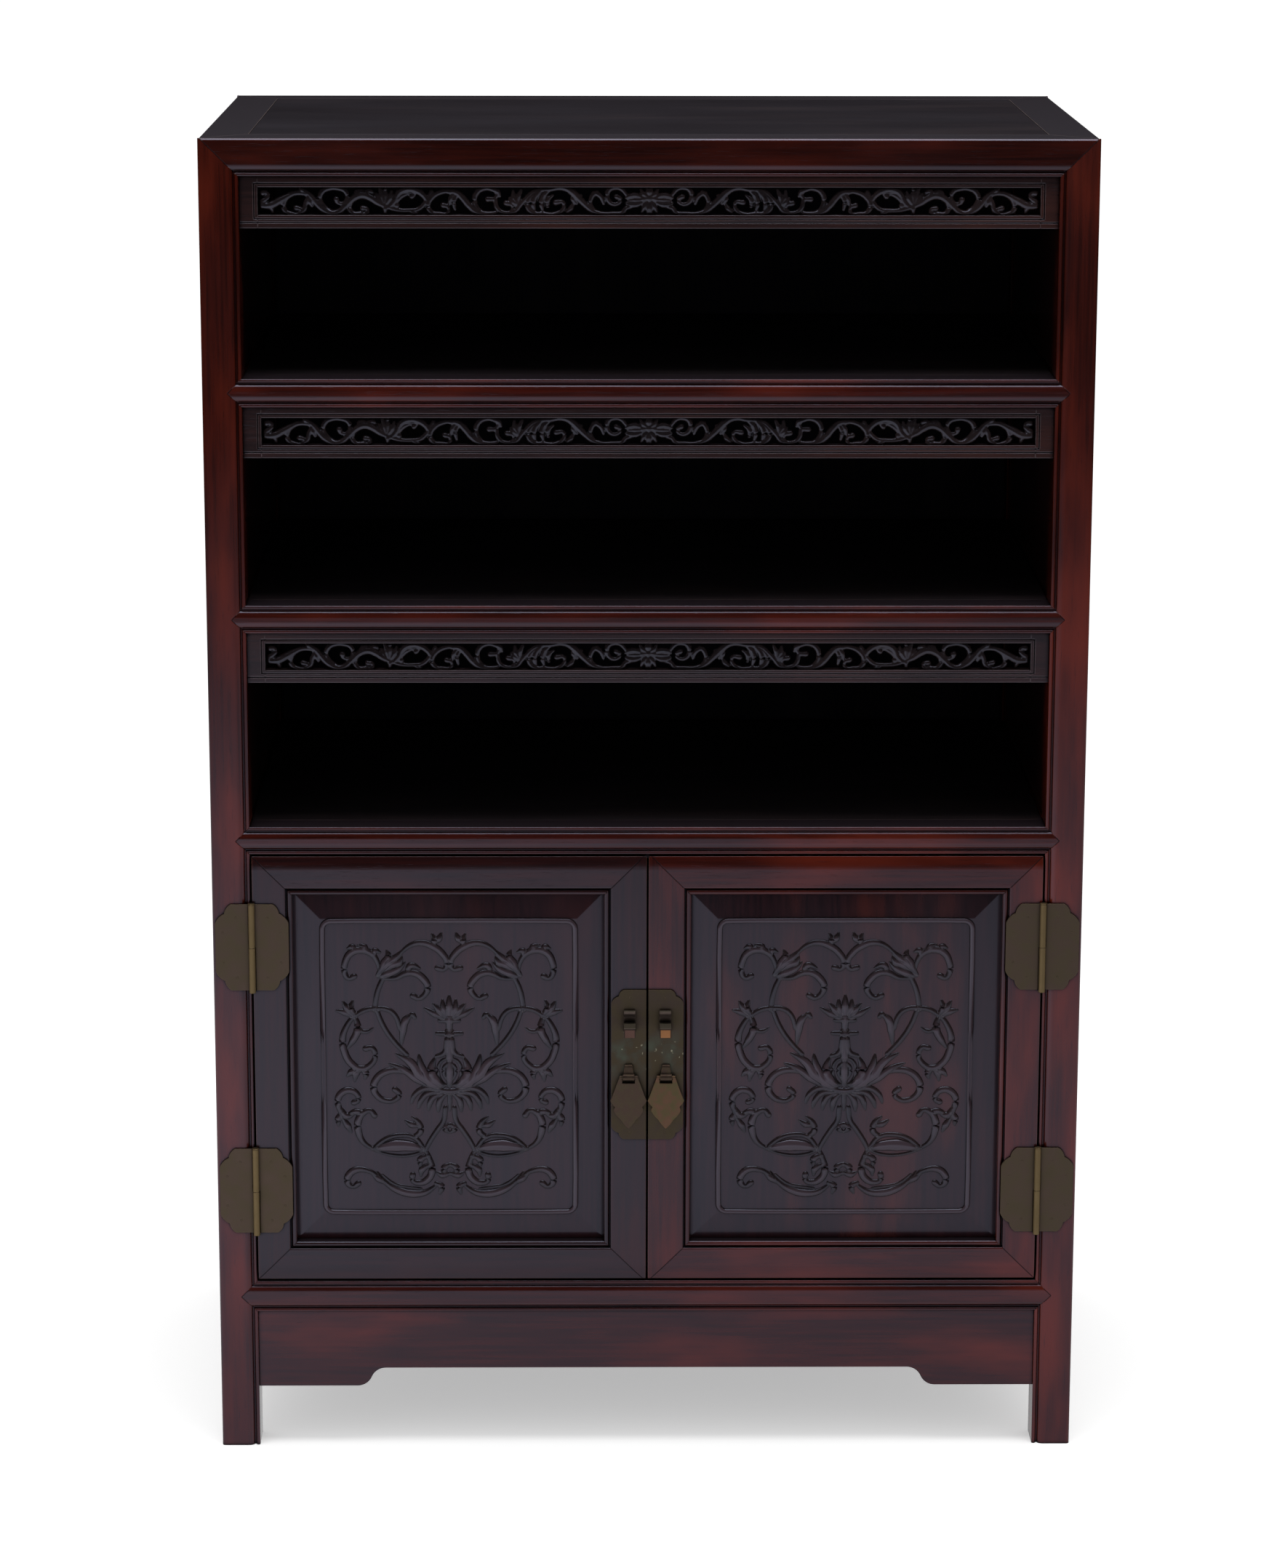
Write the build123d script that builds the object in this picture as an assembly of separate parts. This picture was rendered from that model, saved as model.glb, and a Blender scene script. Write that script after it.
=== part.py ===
"""A hardwood book cabinet: three open tiers with pierced friezes over a two-door cupboard.

Millimetres. +X runs to the right as one faces the doors, +Y runs to the back, +Z is up. The pieces are
drawn with the front faces of the posts at Y = 0 and the floor at Z = 0, and are written out moved in Y,
so that the origin lies under the middle of the whole piece, door furniture included.
"""

from build123d import *
import math
import os

# ---- carcass ----
cabinet_width = 900.0
cabinet_depth = 540.0
cabinet_height = 1380.0
post_size = 40.0
top_rail_height = 38.0
top_rail_breadth = 48.0
shelf_rail_height = 29.0
bottom_rail_height = 34.0
rail_breadth = 34.0
bay_height = 203.0
tier_count = 3
bottom_rail_top = 183.0
arris_radius = 3.5

# ---- moulding of the posts and rails, measured from a member's inner edge ----
bead_width = 4.0
bead_drop = 1.5
groove_width = 2.0
groove_depth = 4.0
slope_width = 6.0
slope_drop = 3.0

# ---- joinery ----
shoulder_depth = 9.0
tenon_setback = 14.0
tenon_thickness = 12.0
tenon_margin = 10.0
mortise_wall = 2.0
corner_tenon_size = 10.0
corner_tenon_cover = 9.0
joint_end_gap = 1.0
cut_overrun = 1.0
tongue_length = 7.0
tongue_thickness = 5.0

# ---- floating panels and their battens ----
top_panel_thickness = 14.0
shelf_panel_thickness = 12.0
shelf_tongue_drop = 4.0
side_panel_thickness = 14.0
side_panel_inset = 2.0
back_panel_thickness = 10.0
back_panel_recess = 12.0
panel_edge_chamfer = 0.6
batten_width = 30.0
batten_thickness = 16.0
batten_tenon_length = 6.0
batten_offset = 210.0

# ---- friezes ----
frieze_height = 52.0
frieze_setback = 7.0
frieze_thickness = 12.0
frieze_stile_width = 18.5
frieze_top_member = 11.0
frieze_bottom_member = 13.0
frieze_bead_width = 3.0
frieze_line_width = 1.2
frieze_line_depth = 1.0
frieze_foot_band = 5.0
carving_thickness = 7.0
carving_rim = 3.0
vine_width = 4.2
vine_overlap = 1.0
scroll_pitch = 41.0
curl_radii = (9.5, 8.0, 6.5, 5.0, 3.6)
curl_eye_radius = 2.8
leaf_radii = (5.0, 4.0)
leaf_places = (0.36, 0.62)
flower_radius = 6.0
petal_radius = 3.4
petal_count = 8

# ---- apron ----
apron_setback = 5.0
apron_thickness = 12.0
apron_middle_drop = 64.0
apron_end_drop = 84.0
apron_end_length = 104.0
apron_curve_length = 30.0
apron_side_end_length = 70.0
apron_tongue_thickness = 6.0
apron_tongue_length = 6.0

# ---- doors ----
door_thickness = 26.0
door_side_gap = 1.5
door_centre_gap = 2.2
door_top_gap = 2.0
door_bottom_gap = 2.5
door_member_width = 41.0
meeting_stile_width = 44.0
meeting_edge_bevel = 1.2
door_round_width = 14.0
door_round_drop = 2.0
door_bead_width = 5.5
door_bead_drop = 1.0
door_groove_width = 1.5
door_groove_depth = 3.8
door_slope_width = 1.5
door_slope_drop = 1.0
door_panel_recess = 14.0
door_panel_thickness = 6.0
door_groove_length = 7.0
door_tenon_front = 6.0
door_tenon_thickness = 6.0
door_tenon_reach = 30.0
door_tenon_foot = 15.0
door_tenon_height = 18.0
field_margin = 28.0
field_rise = 3.0
field_line_width = 4.0
field_line_height = 2.0
field_corner_radius = 11.0
door_stop_height = 10.0
door_stop_gap = 0.5

# ---- hinges ----
plate_thickness = 2.0
hinge_half_width = 38.0
hinge_height = 92.0
hinge_top_margin = 50.0
hinge_bottom_margin = 52.5
hinge_corner_across = 16.0
hinge_corner_down = 20.0
corner_lobe = 1.4
corner_cusp = (0.6, 0.5)
hinge_axis_offset = 3.9
knuckle_radius = 3.5
knuckle_overrun = 2.0
knuckle_end_gap = 0.3
knuckle_side_gap = 0.8
pin_radius = 1.6
pin_running_gap = 0.05
pin_head_height = 1.2
nail_radius = 1.2
nail_length = 11.0
nail_inset = 8.0
nail_rise = 16.0
inner_nail_reach = 16.0
inner_nail_rise = 32.0

# ---- lock plate, lugs and pulls ----
lock_plate_half_width = 37.5
lock_plate_height = 162.0
lock_plate_rise = 6.25
lock_corner_across = 13.0
lock_corner_down = 14.0
lug_offset = 18.5
lug_width = 12.0
lug_rise = 41.5
lug_bar_height = 10.4
lug_reach = 26.0
lug_eye_radius = 3.2
lug_eye_inset = 7.5
lug_edge_radius = 1.5
lug_root_rise = 12.5
lug_root_radius = 5.5
lug_root_reach = 3.0
shank_radius = 2.5
shank_length = 14.0
pull_offset = 19.5
pull_drop = 12.0
pull_axis_offset = 6.6
staple_width = 12.0
staple_head_width = 7.5
staple_radius = 3.7
staple_rise = 13.0
staple_thickness = 4.0
staple_edge_radius = 3.0
pull_rod_radius = 1.6
pull_rod_gap = 0.25
pull_thickness = 2.0
pull_slot_depth = 6.5
pull_slot_side_gap = 0.6
pull_shoulder_half = 9.6
pull_shoulder_rise = 1.0
pull_half_width = 19.0
pull_length = 56.0
# From the head down: shares of the half width and of the length, and the bulge of the edge above each point.
pull_profile = (
    (0.64, 0.12, -0.2),
    (1.0, 0.455, -0.1),
    (0.75, 0.575, 0.3),
    (0.80, 0.66, 0.5),
    (0.50, 0.80, 0.4),
    (0.43, 0.82, -0.15),
    (0.0, 1.0, 0.5),
)

# ---- places worked out from the sizes above ----
half_width = cabinet_width / 2
post_inner = half_width - post_size
back_inner = cabinet_depth - post_size
top_underside = cabinet_height - top_rail_height
tier_pitch = bay_height + shelf_rail_height
shelf_tops = [top_underside - bay_height - tier * tier_pitch for tier in range(tier_count)]
cupboard_ceiling = shelf_tops[-1] - shelf_rail_height
bottom_rail_underside = bottom_rail_top - bottom_rail_height
tenon_length = post_size - tenon_setback - tenon_thickness - mortise_wall - joint_end_gap
side_panel_outer = post_inner + side_panel_inset + side_panel_thickness
side_tongue_inner = post_inner + tongue_length + side_panel_inset
back_panel_front = cabinet_depth - back_panel_recess - back_panel_thickness

door_outer = post_inner - door_side_gap
door_inner = door_centre_gap / 2
door_top = cupboard_ceiling - door_top_gap
door_bottom = bottom_rail_top + door_bottom_gap
field_outer = door_outer - door_member_width
field_inner = door_inner + meeting_stile_width
field_top = door_top - door_member_width
field_bottom = door_bottom + door_member_width
hinge_axis_x = post_inner - door_side_gap / 2
hinge_middles = (
    door_top - hinge_top_margin - hinge_height / 2,
    door_bottom + hinge_bottom_margin + hinge_height / 2,
)
lock_plate_middle = (door_top + door_bottom) / 2 + lock_plate_rise
lug_height = lock_plate_middle + lug_rise
pull_height = lock_plate_middle - pull_drop
front_reach = plate_thickness + lug_reach
y_shift = (front_reach - cabinet_depth) / 2

pieces = {}


# ---- helpers ----
def block(low, high):
    """A box between two corners."""
    sizes = [b - a for a, b in zip(low, high)]
    middle = [(a + b) / 2 for a, b in zip(low, high)]
    return Pos(*middle) * Box(*sizes)


def mirrored(shape):
    """The same piece on the other side of the cabinet."""
    return mirror(shape, about=Plane.YZ)


def both_sides(shape):
    return [shape, mirrored(shape)]


def turned_to_side(shape):
    """Turns a member drawn along X with its face at Y = 0 into one on the left side of the cabinet."""
    return Pos(-half_width, cabinet_depth / 2, 0) * Rot(0, 0, -90) * shape


def turned_back(shape):
    """Half a turn about the upright middle line of the cabinet: front left goes to back right."""
    return Pos(0, cabinet_depth, 0) * Rot(0, 0, 180) * shape


def prism_along_y(points, low_y, high_y):
    """Extrudes an outline given in X and Z from low_y to high_y."""
    outline = make_face(Polyline(*[(x, z) for x, z in points], close=True))
    sketch = Plane(origin=(0, low_y, 0), x_dir=(1, 0, 0), z_dir=(0, -1, 0)) * outline
    return extrude(sketch, amount=high_y - low_y, dir=(0, 1, 0))


def prism_along_x(points, low_x, high_x):
    """Extrudes an outline given in Y and Z from low_x to high_x."""
    outline = make_face(Polyline(*points, close=True))
    sketch = Plane(origin=(low_x, 0, 0), x_dir=(0, 1, 0), z_dir=(1, 0, 0)) * outline
    return extrude(sketch, amount=high_x - low_x, dir=(1, 0, 0))


def moulding_waste(bead, drop, groove, depth, slope, fall):
    """What a moulding plane takes away: X is the distance from the inner edge, Y the depth from the face."""
    past = cut_overrun
    reach = bead + groove + slope
    slope_radius = (slope**2 + fall**2) / (2 * fall)
    middle_fall = slope_radius - math.sqrt(slope_radius**2 - (slope / 2) ** 2)
    bead_side = drop + bead / 2
    line = Polyline((0, bead_side), (-past, bead_side), (-past, -past), (reach, -past), (reach, 0))
    line += ThreePointArc((reach, 0), (reach - slope / 2, middle_fall), (reach - slope, fall))
    line += Polyline((reach - slope, fall), (reach - slope, depth), (bead, depth), (bead, bead_side))
    line += ThreePointArc((bead, bead_side), (bead / 2, drop), (0, bead_side))
    return make_face(line)


carcass_waste = moulding_waste(bead_width, bead_drop, groove_width, groove_depth, slope_width, slope_drop)
door_waste = moulding_waste(
    door_bead_width, door_bead_drop, door_groove_width, door_groove_depth,
    door_slope_width, door_slope_drop,
)


def run_moulding(waste, middle, away, inward, length):
    """The waste along a member of this length, centred on a point of its inner front edge."""
    across = Vector(away).cross(Vector(inward))
    plane = Plane(origin=middle, x_dir=away, z_dir=across)
    return extrude(plane * waste, amount=length / 2 + cut_overrun, both=True)


# ---- posts and rails ----
def rail_tips(length, height, extra=0.0):
    """The pointed shoulders that a rail lays over the faces of the two posts."""
    tips = []
    for side in (-1, 1):
        end = side * length / 2
        points = [(end, -height / 2), (end, height / 2), (end + side * height / 2, 0)]
        tips.append(prism_along_y(points, -extra, shoulder_depth))
    return tips


def rail_tenons(length, height, extra=0.0):
    """The tenons behind the shoulders, or with extra the mortises that they go into."""
    tenons = []
    for side in (-1, 1):
        near, far = side * length / 2, side * (length / 2 + tenon_length + extra)
        low = (min(near, far), tenon_setback, -height / 2 + tenon_margin)
        high = (max(near, far), tenon_setback + tenon_thickness, height / 2 - tenon_margin)
        tenons.append(block(low, high))
    return tenons


def moulded_rail(length, height):
    """A rail between two posts, along X, its face at Y = 0, centred on the origin."""
    reach = (length + height) / 2
    body = block((-reach, 0, -height / 2), (reach, rail_breadth, height / 2))
    for side in (-1, 1):
        edge = (0, 0, side * height / 2)
        body -= run_moulding(carcass_waste, edge, (0, 0, -side), (0, 1, 0), 2 * reach)
    outline = block((-length / 2, 0, -height / 2), (length / 2, rail_breadth, height / 2))
    outline += rail_tips(length, height)
    return (body & outline) + rail_tenons(length, height)


def plain_rail(length, height):
    """A rail at the back, with square shoulders and the same tenons."""
    body = block((-length / 2, 0, -height / 2), (length / 2, rail_breadth, height / 2))
    return body + rail_tenons(length, height)


def side_rail(length, height):
    """A side rail: moulded like the front ones, and as broad as the posts."""
    core = block((-length / 2, shoulder_depth, -height / 2), (length / 2, post_size, height / 2))
    return moulded_rail(length, height) + core


def corner_tenon(corner_x, extra=0.0):
    """The tenon at the head of a post with its outer corner at corner_x, or with extra its mortise."""
    inward = 1 if corner_x < 0 else -1
    near, far = tenon_setback, tenon_setback + corner_tenon_size
    low_x, high_x = sorted((corner_x + inward * near, corner_x + inward * far))
    head = cabinet_height - corner_tenon_cover + extra
    return block((low_x, near, top_underside - far), (high_x, far, head))


def top_member(length):
    """One member of the top frame, along X with its face at Y = 0 and its top at the cabinet's height."""
    half = length / 2
    offset = post_size - top_rail_height
    body = block((-half, 0, top_underside), (half, top_rail_breadth, cabinet_height))
    top_edge = body.edges().filter_by(Axis.X).sort_by(Axis.Z)[-2:].sort_by(Axis.Y)[0]
    body = fillet(top_edge, arris_radius)
    body -= run_moulding(carcass_waste, (0, 0, top_underside), (0, 0, 1), (0, 1, 0), length)
    back_half = half - top_rail_breadth
    plan = Polyline(
        (-half, 0), (half, 0), (back_half, top_rail_breadth), (-back_half, top_rail_breadth), close=True
    )
    body &= Pos(0, 0, top_underside) * extrude(make_face(plan), amount=top_rail_height)
    front = [
        (-half + offset, cabinet_height), (half - offset, cabinet_height),
        (half - post_size, top_underside), (-half + post_size, top_underside),
    ]
    body &= prism_along_y(front, 0, top_rail_breadth)
    for corner_x in (-half, half):
        body -= corner_tenon(corner_x, joint_end_gap)
    return body


def left_post(front):
    """The front left post, or the back right one drawn before its half turn."""
    post = block((-half_width, 0, 0), (-post_inner, post_size, cabinet_height))
    outer_edge = post.edges().filter_by(Axis.Z).sort_by(Axis.X)[:2].sort_by(Axis.Y)[0]
    post = fillet(outer_edge, arris_radius)
    height, middle = cabinet_height, cabinet_height / 2
    if front:
        post -= run_moulding(carcass_waste, (-post_inner, 0, middle), (-1, 0, 0), (0, 1, 0), height)
    post -= run_moulding(carcass_waste, (-half_width, post_size, middle), (0, -1, 0), (1, 0, 0), height)
    start, end = post_size - top_rail_height, post_size + cut_overrun
    foot = top_underside - cut_overrun
    front_mitre = [(-half_width + start, height), (-half_width + end, height), (-half_width + end, foot)]
    side_mitre = [(start, height), (end, height), (end, foot)]
    post -= prism_along_y(front_mitre, -cut_overrun, end)
    post -= prism_along_x(side_mitre, -half_width - cut_overrun, -half_width + end)
    return post + corner_tenon(-half_width)


front_length = 2 * post_inner
side_length = cabinet_depth - 2 * post_size
rail_levels = [(top, shelf_rail_height) for top in shelf_tops] + [(bottom_rail_top, bottom_rail_height)]
shelf_names = ["upper", "middle", "lower"]

front_post, back_post = left_post(True), left_post(False)
for top, height in rail_levels:
    level = Pos(0, 0, top - height / 2)
    side_cuts = rail_tips(side_length, height, cut_overrun) + rail_tenons(side_length, height, joint_end_gap)
    shared_cuts = rail_tenons(front_length, height, joint_end_gap)
    shared_cuts += [turned_to_side(cut) for cut in side_cuts]
    for cut in shared_cuts:
        front_post -= level * cut
        back_post -= level * cut
    for cut in rail_tips(front_length, height, cut_overrun):
        front_post -= level * cut

front_rail_names = [name + "_front_rail" for name in shelf_names + ["bottom"]]
for name, (top, height) in zip(front_rail_names, rail_levels):
    pieces[name] = Pos(0, 0, top - height / 2) * moulded_rail(front_length, height)

pieces["door_stop"] = block(
    (-post_inner, door_thickness + door_stop_gap, cupboard_ceiling - door_stop_height),
    (post_inner, rail_breadth, cupboard_ceiling),
)

back_rails, left_rails = [], []
for top, height in rail_levels:
    level = Pos(0, 0, top - height / 2)
    back_rails.append(turned_back(level * plain_rail(front_length, height)))
    left_rails.append(turned_to_side(level * side_rail(side_length, height)))

top_front_rail = top_member(cabinet_width)
top_back_rail = turned_back(top_front_rail)
top_left_rail = turned_to_side(top_member(cabinet_depth))


# ---- floating panels ----
def tongued_panel(low, high, axis, tongue_low, tongue_high):
    """A panel with a tongue on its four edges, and the groove that the tongue lies in."""
    tongue_corners = [list(low), list(high)]
    groove_corners = [list(low), list(high)]
    for other in range(3):
        if other != axis:
            tongue_corners[0][other] -= tongue_length
            tongue_corners[1][other] += tongue_length
            groove_corners[0][other] -= tongue_length + joint_end_gap
            groove_corners[1][other] += tongue_length + joint_end_gap
    for corners in (tongue_corners, groove_corners):
        corners[0][axis] = tongue_low
        corners[1][axis] = tongue_high
    return block(low, high) + block(*tongue_corners), block(*groove_corners)


def flat_panel(top, thickness, half_x, low_y, high_y):
    """A level panel, flush with the top of its frame, with its upper edges eased, and its groove."""
    low, high = (-half_x, low_y, top - thickness), (half_x, high_y, top)
    tongue_top = top - shelf_tongue_drop
    panel, groove = tongued_panel(low, high, 2, tongue_top - tongue_thickness, tongue_top)
    rim = panel.edges().group_by(Axis.Z)[-1]
    return chamfer(rim, panel_edge_chamfer), groove


inner_low, inner_high = top_rail_breadth, cabinet_depth - top_rail_breadth
top_panel, top_groove = flat_panel(
    cabinet_height, top_panel_thickness, half_width - top_rail_breadth, inner_low, inner_high
)
top_front_rail -= top_groove
top_back_rail -= top_groove
top_left_rail -= top_groove


def battens(underside, low_y, high_y):
    """A pair of battens under a panel, and the mortises of their tenons."""
    pair, mortises = [], []
    for x in (-batten_offset, batten_offset):
        low_x, high_x = x - batten_width / 2, x + batten_width / 2
        body = block((low_x, low_y, underside - batten_thickness), (high_x, high_y, underside))
        third = batten_thickness / 3
        tenon_low = (low_x + third, low_y - batten_tenon_length, underside - 2 * third)
        tenon_high = (high_x - third, high_y + batten_tenon_length, underside - third)
        pair.append(body + block(tenon_low, tenon_high))
        gap = joint_end_gap
        low = (tenon_low[0], tenon_low[1] - gap, tenon_low[2])
        mortises.append(block(low, (tenon_high[0], tenon_high[1] + gap, tenon_high[2])))
    return pair, mortises


panel_battens, mortises = battens(cabinet_height - top_panel_thickness, inner_low, inner_high)
for mortise in mortises:
    top_front_rail -= mortise
    top_back_rail -= mortise

shelf_piece_names = [name + "_shelf" for name in shelf_names] + ["cupboard_floor"]
inner_low, inner_high = rail_breadth, cabinet_depth - rail_breadth
for index, (top, height) in enumerate(rail_levels):
    panel, groove = flat_panel(top, shelf_panel_thickness, post_inner, inner_low, inner_high)
    pieces[shelf_piece_names[index]] = panel
    pair, mortises = battens(top - shelf_panel_thickness, inner_low, inner_high)
    panel_battens += pair
    for cut in [groove] + mortises:
        pieces[front_rail_names[index]] -= cut
        back_rails[index] -= cut
    left_rails[index] -= groove
    front_post -= groove
    back_post -= groove

left_panels, back_panels = [], []
bay_ceilings = [top_underside] + [top - shelf_rail_height for top in shelf_tops]
bay_floors = shelf_tops + [bottom_rail_top]
for index, (ceiling, floor) in enumerate(zip(bay_ceilings, bay_floors)):
    low = (-side_panel_outer, post_size, floor)
    high = (-post_inner - side_panel_inset, back_inner, ceiling)
    panel, groove = tongued_panel(low, high, 0, -side_tongue_inner - tongue_thickness, -side_tongue_inner)
    tongue_front = back_panel_front + (back_panel_thickness - tongue_thickness) / 2
    back_low = (-post_inner, back_panel_front, floor)
    back_high = (post_inner, back_panel_front + back_panel_thickness, ceiling)
    tongue_back = tongue_front + tongue_thickness
    back_panel, back_groove = tongued_panel(back_low, back_high, 1, tongue_front, tongue_back)
    left_panels.append(panel)
    back_panels.append(back_panel)
    front_post -= groove
    back_post -= groove
    back_post -= turned_back(back_groove)
    back_rails[index] -= back_groove
    left_rails[index] -= groove
    if index == 0:
        top_left_rail -= groove
        top_back_rail -= back_groove
    else:
        back_rails[index - 1] -= back_groove
        left_rails[index - 1] -= groove


# ---- friezes ----
def arc_band(centre, radius, width, start, sweep):
    """A bent band of even width, its angles in degrees."""
    inner, outer = radius - width / 2, radius + width / 2

    def at(distance, degrees):
        angle = math.radians(degrees)
        return (centre[0] + distance * math.cos(angle), centre[1] + distance * math.sin(angle))

    middle, end = start + sweep / 2, start + sweep
    line = ThreePointArc(at(outer, start), at(outer, middle), at(outer, end))
    line += Line(at(outer, end), at(inner, end))
    line += ThreePointArc(at(inner, end), at(inner, middle), at(inner, start))
    line += Line(at(inner, start), at(outer, start))
    return make_face(line)


def curl(start, heading, turn):
    """A scroll of quarter turns, each tighter than the last, that ends in a round eye."""
    bands = []
    x, z = start
    for radius in curl_radii:
        side = math.radians(heading + turn * 90)
        centre = (x + radius * math.cos(side), z + radius * math.sin(side))
        from_angle = heading - turn * 90
        bands.append(arc_band(centre, radius, vine_width, from_angle, turn * 90))
        heading += turn * 90
        end = math.radians(heading - turn * 90)
        x, z = centre[0] + radius * math.cos(end), centre[1] + radius * math.sin(end)
    bands.append(Pos(x, z) * Circle(curl_eye_radius))
    return bands


def vine(half_length, height):
    """Half of the running vine: waves that touch the frame, a curl in each wave, and leaves between."""
    shapes = []
    count = int(half_length // scroll_pitch)
    pitch = half_length / count
    rise = (height - vine_width) / 2 + vine_overlap
    radius = ((pitch / 2) ** 2 + rise**2) / (2 * rise)
    half_angle = math.degrees(math.asin(pitch / 2 / radius))
    for index in range(count):
        way = 1 if index % 2 else -1
        middle = (index + 0.5) * pitch
        centre = (middle, way * (rise - radius))
        shapes.append(arc_band(centre, radius, vine_width, way * 90 - half_angle, 2 * half_angle))
        shapes += curl((middle + pitch / 2, 0), 180 - way * half_angle, way)
        for place, leaf_radius in zip(leaf_places, leaf_radii):
            leaf_height = -way * (height / 2 - leaf_radius / 3)
            shapes.append(Pos((index + place) * pitch, leaf_height) * Circle(leaf_radius))
    return shapes


def pierced_carving(width, height):
    """The carved board of a frieze, drawn in X and Z about its middle."""
    shapes = [Circle(flower_radius)]
    for petal in range(petal_count):
        angle = 2 * math.pi * petal / petal_count
        reach = flower_radius + petal_radius / 3
        shapes.append(Pos(reach * math.cos(angle), reach * math.sin(angle)) * Circle(petal_radius))
    half = vine(width / 2, height)
    shapes += half + [mirror(shape, about=Plane.YZ) for shape in half]
    board = Rectangle(width + 2 * carving_rim, height + 2 * carving_rim)
    rim = board - Rectangle(width, height)
    whole = Sketch() + [rim] + shapes
    whole &= board
    sketch = Plane(origin=(0, 0, 0), x_dir=(1, 0, 0), z_dir=(0, -1, 0)) * whole
    return extrude(sketch, amount=carving_thickness, dir=(0, 1, 0))


opening_half = post_inner - frieze_stile_width
opening_height = frieze_height - frieze_top_member - frieze_bottom_member
carving = pierced_carving(2 * opening_half, opening_height)
for name, ceiling in zip(shelf_names, bay_ceilings):
    floor = ceiling - frieze_height
    opening_low, opening_high = floor + frieze_bottom_member, ceiling - frieze_top_member
    front, back = frieze_setback, frieze_setback + frieze_thickness
    members = both_sides(block((-post_inner, front, floor), (-opening_half, back, ceiling)))
    members.append(block((-opening_half, front, opening_high), (opening_half, back, ceiling)))
    members.append(block((-opening_half, front, floor), (opening_half, back, opening_low)))
    foot, line_back = floor + frieze_foot_band, front + frieze_line_depth
    line_inner, line_outer = frieze_bead_width, frieze_bead_width + frieze_line_width
    line = block(
        (-opening_half - line_outer, front, opening_low - line_outer),
        (opening_half + line_outer, line_back, opening_high + line_outer),
    )
    line -= block(
        (-opening_half - line_inner, front, opening_low - line_inner),
        (opening_half + line_inner, line_back, opening_high + line_inner),
    )
    foot_line = block((-post_inner, front, foot), (post_inner, line_back, foot + frieze_line_width))
    carving_front = front + (frieze_thickness - carving_thickness) / 2
    rebate = block(
        (-opening_half - carving_rim, carving_front, opening_low - carving_rim),
        (opening_half + carving_rim, carving_front + carving_thickness, opening_high + carving_rim),
    )
    pieces[name + "_frieze_frame"] = [member - line - foot_line - rebate for member in members]
    pieces[name + "_frieze_carving"] = Pos(0, carving_front, (opening_low + opening_high) / 2) * carving


# ---- aprons ----
def apron(length, end_length):
    """A shaped board under the bottom rail, along X with its face apron_setback behind Y = 0."""
    half = length / 2
    low, middle = -apron_end_drop, -apron_middle_drop
    outer = half - end_length
    inner = outer - apron_curve_length
    turn = ((outer + inner) / 2, (low + middle) / 2)
    line = Polyline((-outer, low), (-half, low), (-half, 0), (half, 0), (half, low), (outer, low))
    for side in (-1, 1):
        halfway = (side * turn[0], turn[1])
        line += TangentArc((side * outer, low), halfway, tangent=(-side, 0))
        line += TangentArc((side * inner, middle), halfway, tangent=(side, 0))
    line += Line((inner, middle), (-inner, middle))
    sketch = Plane(origin=(0, apron_setback, 0), x_dir=(1, 0, 0), z_dir=(0, -1, 0)) * make_face(line)
    return extrude(sketch, amount=apron_thickness, dir=(0, 1, 0))


def apron_tongues(length, extra=0.0):
    """The tongues at the two ends of an apron, or with extra their grooves in the posts."""
    tongues = []
    front = apron_setback + (apron_thickness - apron_tongue_thickness) / 2
    for side in (-1, 1):
        near, far = side * length / 2, side * (length / 2 + apron_tongue_length + extra)
        low = (min(near, far), front, -apron_end_drop)
        tongues.append(block(low, (max(near, far), front + apron_tongue_thickness, 0)))
    return tongues


under_rail = Pos(0, 0, bottom_rail_underside)
front_apron = under_rail * (apron(front_length, apron_end_length) + apron_tongues(front_length))
side_apron = under_rail * (apron(side_length, apron_side_end_length) + apron_tongues(side_length))
side_grooves = [turned_to_side(cut) for cut in apron_tongues(side_length, joint_end_gap)]
for cut in apron_tongues(front_length, joint_end_gap) + side_grooves:
    front_post -= under_rail * cut
    back_post -= under_rail * cut


# ---- doors, the left one; the right one is its mirror image ----
def rounded_edge(edge, inward, low_x, high_x):
    """The waste of a door's rounded upper or lower edge; inward is 1 for an edge whose door lies above it."""
    width, drop, past = door_round_width, door_round_drop, cut_overrun
    radius = (width**2 + drop**2) / (2 * drop)
    middle_drop = radius - math.sqrt(radius**2 - (width / 2) ** 2)
    inner = edge + inward * width
    outside = edge - inward * past
    line = ThreePointArc((drop, edge), (middle_drop, edge + inward * width / 2), (0, inner))
    line += Polyline((0, inner), (-past, inner), (-past, outside), (drop, outside), (drop, edge))
    sketch = Plane(origin=(low_x - past, 0, 0), x_dir=(0, 1, 0), z_dir=(1, 0, 0)) * make_face(line)
    return extrude(sketch, amount=high_x - low_x + 2 * past, dir=(1, 0, 0))


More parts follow.
